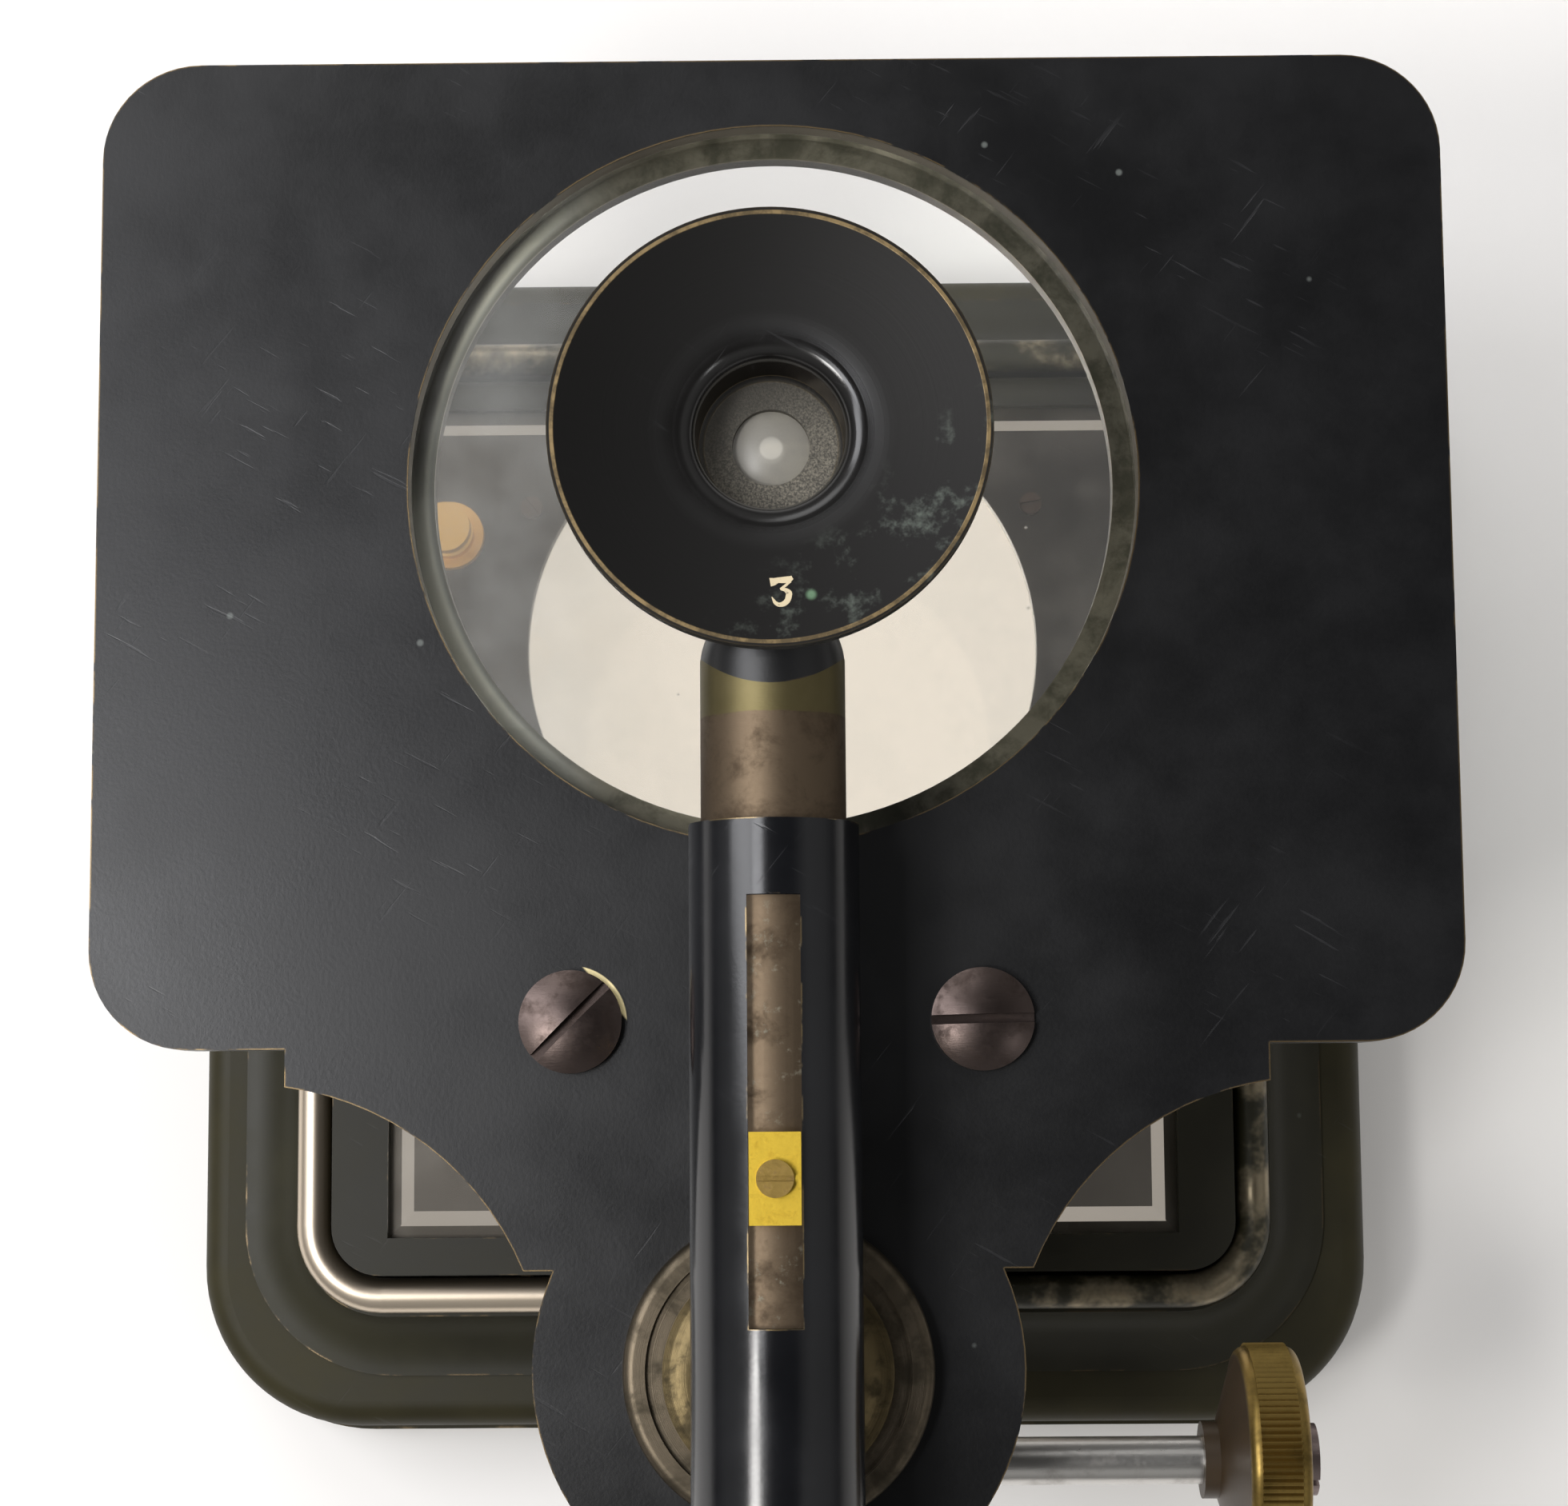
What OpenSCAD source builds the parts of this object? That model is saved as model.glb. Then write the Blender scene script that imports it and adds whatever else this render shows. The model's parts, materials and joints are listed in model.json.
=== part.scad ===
// Simple microscope with a rack-and-pinion pillar, a swivelling draw-tube arm, a doublet lens in a
// dished eye cup, a glass-centred stage and a tilting mirror set in the base.
// Origin: centre of the base's underside. +X right, +Y away from the pillar, +Z up. Millimetres.

/* [Base] */
// Width of the base
base_w = 114; // [110:0.5:122]
// Length of the base, front to back
base_l = 114; // [112:0.5:122]
// Radius of the base's corners
base_corner_r = 15.6; // [12:0.2:20]
// Height of the base's top face
base_h = 17; // [15.5:0.5:19]
// Radius of the base's rounded top edge
base_edge_r = 2.5; // [1:0.1:4]
// Height of the base's lower tier
tier_h = 6; // [4:0.5:8]
// How far the lower tier stands out
tier_out = 1.2; // [0.6:0.1:2]
// Thickness of the metal over the base weight
base_roof = 5; // [4:0.5:6]
// Width of the base weight
weight_w = 94; // [84:1:100]
// Length of the base weight
weight_l = 78; // [70:1:84]
// Corner radius of the base weight
weight_corner_r = 20; // [18:0.5:24]
// Thickness of the plate that closes the base
plate_t = 1.5; // [1.2:0.1:2]
// How far the closing plate overlaps the weight
plate_lap = 2; // [1.5:0.5:4]

/* [Mirror] */
// Distance of the mirror glass from the base's sides
side_gap = 19.7; // [19:0.1:21.5]
// Distance of the mirror glass from the base's back edge
rear_gap = 18.6; // [18:0.1:20]
// Distance of the mirror glass from the base's front edge
front_gap = 16; // [15:0.1:18]
// Thickness of the mirror glass
mirror_t = 3; // [2.6:0.1:3.4]
// Width of the glass bevel
bevel_w = 2.5; // [1.5:0.1:4]
// Depth of the glass bevel
bevel_d = 1.3; // [0.8:0.1:1.8]
// Height of the mirror's face above the base
mirror_up = 12; // [11.5:0.1:13]
// Width of the frame's side rails
side_rail = 5.3; // [4.8:0.1:6]
// Width of the frame's front and back rails
end_rail = 3.5; // [3.4:0.1:4.2]
// Ledge under the glass
mirror_ledge = 3; // [2:0.1:4]
// Thickness of the mirror's backing board
backing_t = 1.5; // [1:0.1:2]
// Width of the raised bronze ridge
ridge_w = 3.2; // [2.8:0.1:3.8]
// Height of the ridge's top above the base
ridge_up = 11; // [10:0.1:11.4]
// Width of the ledge that the mirror frame rests on
rest_ledge = 2.5; // [2:0.1:3]
// Radius of the cove outside the ridge
cove_r = 6.5; // [5:0.1:7]
// Corner radius of the mirror's opening
ridge_corner_r = 5; // [4:0.2:7]
// Radius of the mirror's pivot pins
pivot_r = 1.2; // [1:0.05:1.4]
// Radius of the lifting button
button_r = 2; // [1.5:0.1:2.4]
// Height of the lifting button
button_h = 2.2; // [1.5:0.1:2.6]
// Distance of the lifting button from the middle
button_x = 14; // [12:0.5:18]

/* [Pillar] */
// Distance of the pillar's axis in front of the base's back edge
pillar_back = 9.7; // [9.5:0.1:12]
// Outer radius of the pillar tube
pillar_r = 7; // [6.8:0.1:7.3]
// Radius of the flange at the pillar's foot
flange_r = 9.4; // [8.8:0.1:10]
// Height of that flange
flange_h = 3.6; // [3:0.1:4.4]
// Rim left round the flange on the base's rear lobe
lobe_rim = 3.6; // [2.5:0.1:5]
// Radius of the turned collar on the stage
collar_r = 12.2; // [11:0.1:13]
// Height of the collar
collar_h = 3.3; // [2.8:0.1:3.6]

/* [Stage] */
// Width of the stage
stage_w = 110; // [104:0.5:116]
// Length of the stage's wide part
stage_l = 81.1; // [79:0.1:84]
// Thickness of the stage plate
stage_t = 4; // [3.4:0.1:4.6]
// Height of the stage's top face
stage_z = 78; // [77.5:0.1:80]
// Radius of the stage's corners
stage_corner_r = 8; // [5:0.2:12]
// Distance of the wide part's back edge from the pillar's axis
stage_back = 25.4; // [24.5:0.1:26]
// Half width of the neck where it leaves the wide part
neck_half = 39.2; // [37:0.1:41]
// Step from the wide part to the neck
neck_step = 3; // [2:0.1:4]
// Radius of the concave cut-outs
cutout_r = 24.1; // [23:0.1:24.6]
// Distance of the cut-outs' centres from the middle
cutout_x = 42.4; // [42:0.1:43.5]
// Radius of the round lobe about the pillar
lobe_r = 19.45; // [18:0.05:20]
// Radius of the hole in the stage
hole_r = 29.7; // [28:0.1:31]
// Distance of the hole's centre from the pillar's axis
hole_y = 71.2; // [69:0.1:73]
// Thickness of the stage glass
glass_t = 2; // [1.5:0.1:2.6]
// Ledge that the glass rests on
glass_ledge = 1.8; // [1.4:0.1:2.4]
// Rim of the glass ring beyond the hole
ring_rim = 4; // [3.5:0.1:5]
// Thickness of the glass ring
ring_t = 2; // [1.6:0.1:2.6]
// Sideways distance of the stage screws from the middle
screw_x = 16.4; // [14.5:0.1:17]
// Distance of the stage screws from the pillar's axis
screw_y = 27.4; // [26:0.1:29]
// Radius of the stage screws' heads
screw_head_r = 4.1; // [3.4:0.1:4.4]
// Height of the dome on the stage screws' heads
screw_head_h = 0.9; // [0.7:0.1:1.4]
// Radius of the stage screws' shanks
screw_r = 1.8; // [1.4:0.1:2]
// Thickness of the bracket under the neck
bracket_t = 6; // [5:0.1:6.2]
// Radius of the bracket's ring about the pillar
bracket_r = 12.6; // [11:0.1:14]
// Radius of the bracket's bosses under the stage screws
bracket_boss_r = 5.4; // [5:0.1:6]
// Width of the bracket's two arms
bracket_arm_w = 9.2; // [8:0.1:9.6]
// Radius of the brass stud under the stage
stud_r = 2.7; // [2.2:0.1:3.2]
// Length of that stud
stud_l = 6.5; // [5:0.1:8]
// Distance of the stud from the stage's front edge
stud_front = 22.2; // [18:0.1:24]
// Distance of the stud from the stage's side, as a share of the room beside the glass ring
stud_share = 0.77; // [0.5:0.01:0.8]

/* [Focusing] */
// Radius of the focusing rod
rod_r = 5; // [4.8:0.05:5.1]
// Height of the rod's lower end above the table
rod_z = 10; // [9:0.5:12]
// Travel of the rod
focus_travel = 32; // [28:0.5:33]
// Depth of the pinion's axis below the stage's top face
pinion_down = 20; // [19.8:0.1:21]
// Tooth module of the rack and the pinion
tooth_m = 0.8; // [0.78:0.01:0.82]
// Teeth on the pinion
pinion_teeth = 13; // [13:1:14]
// Width of the rack
rack_w = 4; // [3.6:0.1:4.2]
// Length of the plain ends of the rack
rack_end = 4; // [3.4:0.1:4]
// Radius of the pinion's shaft
shaft_r = 2; // [1.8:0.05:2.1]
// Radius of the housing's drum
drum_r = 9; // [8.8:0.1:9.3]
// Half width of the housing's drum
drum_half = 8; // [7.6:0.1:9]
// How far the shaft stands out at its free end
shaft_end = 1.2; // [0.6:0.1:2]
// Radius of the focusing knob
knob_r = 9.7; // [8.8:0.1:10.2]
// Width of the knob's knurled rim
knob_w = 5.1; // [4:0.1:6]
// Distance of the rim's inner face from the middle
knob_x = 38.4; // [36:0.1:42]
// Length of the knob's hub
hub_l = 3; // [2.6:0.1:4]
// Radius of the knob's hub
hub_r = 3.2; // [3:0.1:3.6]
// Depth of the shallow cone between the hub and the rim
cone_l = 1.7; // [1.3:0.1:2.2]
// Ridges of the knurl
knurl_ridges = 104; // [80:1:120]
// Depth of the knurl
knurl_d = 0.28; // [0.15:0.01:0.35]

/* [Arm] */
// Height of the arm's axis above the stage
arm_up = 13; // [12.6:0.1:13.4]
// Outer radius of the arm tube
arm_r = 6.5; // [6.4:0.05:6.8]
// Outer radius of the draw tube
draw_r = 5.55; // [5.4:0.05:5.6]
// Wall of the draw tube
draw_wall = 1.05; // [0.9:0.05:1.3]
// Front end of the arm tube, from the pillar's axis
arm_front = 41.8; // [40.5:0.1:43]
// Back end of the arm tube, behind the pillar's axis
arm_back = 15; // [14:0.1:16]
// Rounded end cap beyond the tube
cap_t = 2; // [1.5:0.1:3]
// Back end of the slot, from the pillar's axis
slot_back = 4.3; // [3.8:0.1:4.6]
// Front end of the slot, from the pillar's axis
slot_front = 36.1; // [35.5:0.1:36.8]
// Width of the slot
slot_w = 4; // [3.6:0.1:4.4]
// Length of the guide block
block_l = 6.8; // [6:0.1:7.4]
// Distance of the guide block's back face from the pillar's axis
block_y = 11.8; // [11.4:0.1:12.2]
// Height of the guide block above the arm tube
block_proud = 0.2; // [0.1:0.05:0.5]
// Radius of the guide screw's head
guide_head_r = 1.4; // [1.2:0.05:1.6]
// Back end of the draw tube, from the pillar's axis
draw_back = 3; // [2:0.1:4]
// Radius of the boss's flange
boss_r = 9; // [8:0.1:9.6]
// Radius of the boss's neck
boss_neck_r = 5.2; // [4.8:0.1:5.6]
// Radius of the arm's pivot
spigot_r = 3; // [2.6:0.05:3.2]
// Length of the arm's pivot
spigot_l = 10; // [8:0.1:10.4]

/* [Lens] */
// Radius of the nose's rounded joint with the draw tube
cope_r = 7.4; // [7:0.1:8]
// Distance of that joint's centre from the pillar's axis
cope_y = 59.4; // [59:0.1:60]
// Radius of the bar between the nose and the lens ring
bar_r = 2.6; // [2.2:0.1:2.8]
// Outer radius of the lens ring
ring_r = 9; // [8.6:0.1:9.4]
// Height of the lens ring's underside above the stage
ring_up = 6.2; // [6:0.1:6.6]
// Height of the lens ring
lens_ring_h = 7.8; // [7.6:0.1:8]
// Radius of the doublet's barrel
barrel_r = 7.25; // [7.1:0.05:7.4]
// Wall of the barrel
barrel_wall = 1.05; // [0.9:0.05:1.2]
// How far the barrel's tip hangs below the ring
tip_drop = 1; // [0.6:0.1:1.1]
// Radius of the eye cup
cup_r = 16.8; // [16:0.1:17.6]
// Height of the cup's rim above the stage
cup_up = 20.5; // [20.4:0.1:21]
// Thickness of the cup at its rim
cup_rim_t = 1.5; // [1.2:0.1:1.6]
// Width of the rim's flat edge
rim_flat = 0.5; // [0.3:0.1:0.8]
// Depth of the dish between rim and recess
dish_d = 2; // [1.6:0.1:2.4]
// Radius of the eye recess
recess_r = 5.7; // [5.6:0.1:6]
// Rounding of the recess's lip
lip_r = 1.6; // [1.2:0.1:2]
// Radius of the recess's floor
floor_r = 5.2; // [5:0.1:5.3]
// Depth of the recess's floor below the rim
floor_d = 8; // [7.8:0.1:8.2]
// Thickness of the recess's floor
floor_t = 0.8; // [0.7:0.1:1]
// Radius of the opening over the upper lens
eye_open_r = 3; // [2.7:0.1:3.1]
// Radius of the diaphragm's hole
aperture_r = 0.95; // [0.8:0.05:1.2]
// Radius of the upper lens
upper_r = 3.4; // [3.3:0.1:3.6]
// Thickness of the upper lens
upper_t = 1.6; // [1.5:0.1:1.7]
// Thickness of the diaphragm
stop_t = 1.4; // [1:0.1:1.6]
// Radius of the lower lens
lower_r = 3; // [2.8:0.1:3.2]
// Thickness of the lower lens
lower_t = 1.6; // [1.4:0.1:1.7]

/* [Fits] */
// Radial clearance of parts that turn or slide in one another
run_gap = 0.05; // [0.03:0.005:0.08]
// Clearance between pieces that pass close by
pass_gap = 0.4; // [0.3:0.05:0.45]
// Clearance under the arm boss
seat_gap = 0.3; // [0.25:0.05:0.4]

/* [Hidden] */
$fn = 96;
slop = 0.01;

pillar_y = pillar_back - base_l / 2;
lobe_base_r = flange_r + lobe_rim;

// Base
weight_y = 5;
plate_corner_r = 4;
plate_screw_in = 4.6;
plate_screw_l = 7;
plate_screw_r = 1.3;
plate_head_r = 2.4;
plate_head_h = 1.1;

// Mirror and moulding
mirror_w = base_w - 2 * side_gap;
mirror_l = base_l - rear_gap - front_gap;
mirror_y = (rear_gap - front_gap) / 2;
mirror_z = base_h + mirror_up;
ridge_z = base_h + ridge_up;
mirror_back_z = mirror_z - mirror_t;
frame_w = mirror_w + 2 * side_rail;
frame_l = mirror_l + 2 * end_rail;
hinge_wall = 1.9;
hinge_r = mirror_t / 2 + hinge_wall;
hinge_z = mirror_z - hinge_r;
hinge_y = mirror_y + frame_l / 2 - hinge_r;
frame_under = 4;
frame_low_z = mirror_back_z - frame_under;
well_w = frame_w + 2 * pass_gap;
well_l = frame_l + 2 * pass_gap;
pivot_reach = 3.2;

// Stage
stage_under = stage_z - stage_t;
stage_y = pillar_y + stage_back + stage_l / 2;
neck_y = stage_back - neck_step;
cutout_y = neck_y - sqrt(cutout_r * cutout_r - (cutout_x - neck_half) * (cutout_x - neck_half));
neck_low = 7.8;
glass_r = hole_r - run_gap;
bracket_z = stage_under - bracket_t;
stud_y = stage_back + stage_l - stud_front;
ring_out_x = sqrt((hole_r + ring_rim) * (hole_r + ring_rim) - (stud_y - hole_y) * (stud_y - hole_y));
stud_x = stage_w / 2 - stud_share * (stage_w / 2 - ring_out_x);
ring_screw_pcr = hole_r + ring_rim / 2;
ring_screws_n = 3;
screw_head_edge = 0.9;
screw_head_top = screw_head_edge + screw_head_h;
screw_l = stage_t + bracket_t - 0.6;
small_screw_r = 0.8;
small_head_r = 1.2;
small_head_h = 0.9;

// Rack and pinion
pinion_z = stage_z - pinion_down;
pitch_r = tooth_m * pinion_teeth / 2;
tooth_pitch = PI * tooth_m;
pressure = 20;
pinion_tip_r = pitch_r + tooth_m;
pinion_root_r = pitch_r - 1.05 * tooth_m;
rack_up = 0.7 * tooth_m;
rack_down = 1.25 * tooth_m;
rack_plate = 1.3;
backlash = 0.16;
rack_inset = 0.06;
rack_tip_y = -sqrt(rod_r * rod_r - rack_w * rack_w / 4) + rack_inset;
rack_line_y = rack_tip_y + rack_up;
pinion_y = rack_line_y - pitch_r;
rack_root_y = rack_line_y + rack_down;
rack_back_y = rack_root_y + rack_plate;
rack_above = 3;
rack_teeth = rack_above + ceil((focus_travel + pinion_tip_r - 1) / tooth_pitch);
teeth_top = pinion_z + rack_above * tooth_pitch;
teeth_low = teeth_top - rack_teeth * tooth_pitch;
rack_top = teeth_top + rack_end;
rack_low = teeth_low - rack_end;
pinion_half = rack_w / 2 - 0.3;
window_half_w = rack_w / 2 + 0.3;
cavity_r = pinion_tip_r + 0.5;
cavity_half = pinion_half + 0.6;
bush_r = shaft_r + 1;
bush_lip = 0.8;
bush_in = drum_half - 3.4;
cover_screw_x = drum_half - 2.2;
cover_screw_z = drum_r - 2.3;
cover_seat = 3.2;
cover_hold = 3;
rack_hold = 1.5;
knob_edge = 0.9;
knob_head_r = 3;
knob_head_h = 1.5;
knob_screw_r = 1.1;
knob_screw_l = 4.5;

// Arm and lens
arm_z = stage_z + arm_up;
bore_r = draw_r + run_gap;
collar_top = stage_z + collar_h;
rod_top = collar_top + seat_gap;
socket_z = rod_top - spigot_l - 0.6;
boss_lip = 0.6;
cap_plug = 3.5;
nose_plug = 6;
guide_head_h = 0.6;
draw_bore_r = draw_r - draw_wall;
dome_y = cope_y - cope_r + 1.9;
lens_y = hole_y;
ring_z = stage_z + ring_up;
ring_top = ring_z + lens_ring_h;
ring_bore_r = barrel_r + run_gap;
bar_z = ring_z + lens_ring_h / 2 - 0.2;
tip_z = ring_z - tip_drop;
barrel_bore_r = barrel_r - barrel_wall;
rim_z = stage_z + cup_up;
dish_rim_r = cup_r - rim_flat;
lip_x = recess_r + lip_r;
dish_z = rim_z + (dish_rim_r * dish_rim_r - lip_x * lip_x - dish_d * dish_d) / (2 * dish_d);
dish_r = sqrt(dish_rim_r * dish_rim_r + (dish_z - rim_z) * (dish_z - rim_z));
lip_proud = 0.03;
lip_z = dish_z + lip_proud - sqrt((dish_r + lip_r) * (dish_r + lip_r) - lip_x * lip_x);
lip_edge_x = lip_x * dish_r / (dish_r + lip_r);
floor_z = rim_z - floor_d;
cup_low = floor_z - floor_t;
lens_crown = 0.9;
upper_z = cup_low + crown_drop(upper_r, eye_open_r) - run_gap - upper_t;
stop_z = upper_z - stop_t;
lower_z = stop_z - lower_t;
keeper_r = lower_r + 1.2;

// Placing helpers
module at_pillar() {
    translate([0, pillar_y, 0]) children();
}

module at_lens() {
    translate([0, pillar_y + lens_y, 0]) children();
}

// Turns a solid drawn along Z so that it runs along +X from the pinion's axis
module on_shaft() {
    translate([0, pillar_y + pinion_y, pinion_z]) rotate([0, 90, 0]) children();
}

// Turns a solid drawn along Z so that it runs along +Y on the arm's axis
module on_arm(y = 0) {
    translate([0, pillar_y + y, arm_z]) rotate([-90, 0, 0]) children();
}

// Rectangle with round corners, centred
module round_rect(w, l, r) {
    square([w - 2 * r, l], center = true);
    square([w, l - 2 * r], center = true);
    for (sx = [-1, 1], sy = [-1, 1]) {
        translate([sx * (w / 2 - r), sy * (l / 2 - r)]) circle(r);
    }
}

// Carries a 2-D profile round a rectangle with round corners: x outwards from the line, y up
module frame_sweep(w, l, r) {
    for (k = [0:3]) {
        across = (k % 2 == 0) ? w : l;
        along = (k % 2 == 0) ? l : w;
        rotate(90 * k) {
            translate([across / 2, 0, 0]) rotate([90, 0, 0])
                linear_extrude(along - 2 * r, center = true) children();
            translate([across / 2 - r, along / 2 - r, 0])
                rotate_extrude(angle = 90) translate([r, 0]) children();
        }
    }
}

// Saw cut across a screw's head
module screw_slot(head_r, width, depth, turn) {
    rotate(turn) translate([0, 0, -depth / 2 + slop]) cube([2 * head_r + 1, width, depth], center = true);
}

// Small cheese-headed screw, its head standing up from z = 0 and its shank going down
module small_screw(shank, turn) {
    difference() {
        union() {
            cylinder(r = small_head_r, h = small_head_h);
            translate([0, 0, -shank]) cylinder(r = small_screw_r, h = shank + slop);
        }
        translate([0, 0, small_head_h]) screw_slot(small_head_r, 0.4, 0.45, turn);
    }
}

// Base
module base_outline(grow) {
    round_rect(base_w + 2 * grow, base_l + 2 * grow, base_corner_r + grow);
    translate([0, pillar_y]) circle(lobe_base_r + grow);
}

module plate_screw_places() {
    inset = plate_lap + weight_w / 2 - plate_screw_in;
    inset_y = plate_lap + weight_l / 2 - plate_screw_in;
    for (sx = [-1, 1], sy = [-1, 1]) {
        translate([sx * inset, weight_y + sy * inset_y, 0]) children();
    }
}

module plate_screw() {
    cylinder(r1 = plate_head_r, r2 = plate_screw_r, h = plate_head_h);
    translate([0, 0, plate_head_h - slop])
        cylinder(r = plate_screw_r, h = plate_screw_l - plate_head_h + slop);
}

module base() {
    color([0.11, 0.115, 0.085]) difference() {
        union() {
            linear_extrude(tier_h - 1) base_outline(tier_out);
            linear_extrude(tier_h) base_outline(tier_out / 2);
            linear_extrude(base_h - base_edge_r) base_outline(0);
            linear_extrude(base_h) base_outline(-base_edge_r);
            translate([0, 0, base_h - base_edge_r])
                frame_sweep(base_w - 2 * base_edge_r, base_l - 2 * base_edge_r,
                    base_corner_r - base_edge_r)
                    intersection() {
                        circle(base_edge_r);
                        square(base_edge_r);
                    }
            at_pillar() translate([0, 0, base_h - base_edge_r]) rotate_extrude()
                translate([lobe_base_r - base_edge_r, 0]) intersection() {
                    circle(base_edge_r);
                    square(base_edge_r);
                }
        }
        translate([0, weight_y, -slop]) linear_extrude(base_h - base_roof + slop)
            round_rect(weight_w, weight_l, weight_corner_r);
        translate([0, weight_y, -slop]) linear_extrude(plate_t + slop)
            round_rect(weight_w + 2 * plate_lap, weight_l + 2 * plate_lap, plate_corner_r);
        at_pillar() translate([0, 0, tier_h - 2]) cylinder(r = pillar_r, h = base_h);
        plate_screw_places() cylinder(r = plate_screw_r, h = plate_screw_l);
    }
}

module base_weight() {
    color([0.30, 0.30, 0.32]) translate([0, weight_y, plate_t])
        linear_extrude(base_h - base_roof - plate_t)
            round_rect(weight_w - run_gap, weight_l - run_gap, weight_corner_r);
}

module base_plate() {
    color([0.35, 0.29, 0.15]) difference() {
        translate([0, weight_y, 0]) linear_extrude(plate_t)
            round_rect(weight_w + 2 * plate_lap, weight_l + 2 * plate_lap, plate_corner_r);
        plate_screw_places() plate_screw();
    }
}

module plate_screws() {
    color([0.45, 0.40, 0.30]) plate_screw_places() difference() {
        plate_screw();
        mirror([0, 0, 1]) screw_slot(plate_head_r, 0.5, 0.6, 30);
    }
}

// Raised moulding round the mirror: a half-round ridge with a cove outside it
module moulding_profile() {
    translate([0, base_h]) square([ridge_w, ridge_z - base_h - ridge_w / 2]);
    translate([-rest_ledge, base_h]) square([rest_ledge + slop, frame_low_z - seat_gap - base_h]);
    translate([ridge_w / 2, ridge_z - ridge_w / 2]) circle(ridge_w / 2);
    difference() {
        translate([0, base_h]) square([ridge_w + cove_r, cove_r]);
        translate([ridge_w + cove_r, base_h + cove_r]) circle(cove_r - 0.5);
    }
}

module pivot_places() {
    for (s = [-1, 1]) {
        translate([s * well_w / 2, hinge_y, hinge_z]) rotate([0, s * 90, 0]) children();
    }
}

module mirror_moulding() {
    color([0.33, 0.25, 0.16]) difference() {
        translate([0, mirror_y, 0]) frame_sweep(well_w, well_l, ridge_corner_r) moulding_profile();
        at_pillar() cylinder(r = flange_r, h = stage_z);
        pivot_places() translate([0, 0, -1]) cylinder(r = pivot_r, h = ridge_w + 2);
    }
}

module mirror_pivots() {
    color([0.50, 0.43, 0.26]) pivot_places() difference() {
        translate([0, 0, -pass_gap - pivot_reach])
            cylinder(r = pivot_r, h = pass_gap + pivot_reach + ridge_w);
        translate([0, 0, ridge_w]) screw_slot(pivot_r, 0.4, 0.6, 20);
    }
}

// Pillar
module pillar() {
    pillar_low = tier_h - 2;
    color([0.075, 0.075, 0.08]) at_pillar() difference() {
        translate([0, 0, pillar_low]) cylinder(r = pillar_r, h = stage_z - pillar_low);
        translate([0, 0, pillar_low + 2]) cylinder(r = rod_r + run_gap, h = stage_z);
        translate([-window_half_w, -pillar_r - 1, pinion_z - cavity_r])
            cube([2 * window_half_w, pillar_r + 1, 2 * cavity_r]);
    }
}

module pillar_flange() {
    color([0.27, 0.20, 0.11]) at_pillar() difference() {
        union() {
            translate([0, 0, base_h]) cylinder(r = flange_r, h = flange_h / 2);
            translate([0, 0, base_h + flange_h / 2]) rotate_extrude()
                translate([flange_r - flange_h / 2, 0]) circle(flange_h / 2);
            translate([0, 0, base_h]) cylinder(r = flange_r - flange_h / 2, h = flange_h);
        }
        translate([0, 0, base_h - 1]) cylinder(r = pillar_r, h = flange_h + 2);
    }
}

module pillar_collar() {
    edge = 0.9;
    dish = 0.5;
    color([0.30, 0.22, 0.13]) at_pillar() difference() {
        union() {
            translate([0, 0, stage_z]) cylinder(r = collar_r, h = collar_h - edge);
            translate([0, 0, stage_z]) cylinder(r = collar_r - edge, h = collar_h);
            translate([0, 0, collar_top - edge]) rotate_extrude()
                translate([collar_r - edge, 0]) circle(edge);
        }
        translate([0, 0, stage_z - 1]) cylinder(r = rod_r + run_gap, h = collar_h + 2);
        translate([0, 0, collar_top - dish]) difference() {
            cylinder(r = collar_r - 2 * edge, h = 1);
            translate([0, 0, -1]) cylinder(r = boss_neck_r + 1.6, h = 3);
        }
    }
}

// Stage
module stage_outline() {
    translate([0, stage_back + stage_l / 2]) round_rect(stage_w, stage_l, stage_corner_r);
    difference() {
        translate([-neck_half, neck_low]) square([2 * neck_half, stage_back + 1 - neck_low]);
        for (s = [-1, 1]) {
            translate([s * cutout_x, cutout_y]) circle(cutout_r);
        }
    }
    circle(lobe_r);
}

module stage_screw_places() {
    for (s = [-1, 1]) {
        translate([s * screw_x, pillar_y + screw_y, stage_z]) children();
    }
}

module stage_plate() {
    color([0.065, 0.065, 0.07]) difference() {
        at_pillar() translate([0, 0, stage_under]) linear_extrude(stage_t) stage_outline();
        at_lens() translate([0, 0, stage_under - 1]) cylinder(r = hole_r, h = stage_t + 2);
        at_pillar() translate([0, 0, stage_under - 1]) cylinder(r = pillar_r, h = stage_t + 2);
        stage_screw_places() translate([0, 0, -stage_t - 1]) cylinder(r = screw_r, h = stage_t + 2);
    }
}

module stage_bracket() {
    reach = sqrt(screw_x * screw_x + screw_y * screw_y);
    color([0.08, 0.08, 0.085]) difference() {
        at_pillar() translate([0, 0, bracket_z]) {
            cylinder(r = bracket_r, h = bracket_t);
            for (s = [-1, 1]) {
                translate([s * screw_x, screw_y, 0]) cylinder(r = bracket_boss_r, h = bracket_t);
                rotate(90 - s * atan(screw_x / screw_y))
                    translate([0, -bracket_arm_w / 2, 0]) cube([reach, bracket_arm_w, bracket_t]);
            }
        }
        at_pillar() translate([0, 0, bracket_z - 1]) cylinder(r = pillar_r, h = bracket_t + 2);
        stage_screw_places() translate([0, 0, -stage_t - bracket_t - 1])
            cylinder(r = screw_r, h = bracket_t + 2);
    }
}

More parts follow.
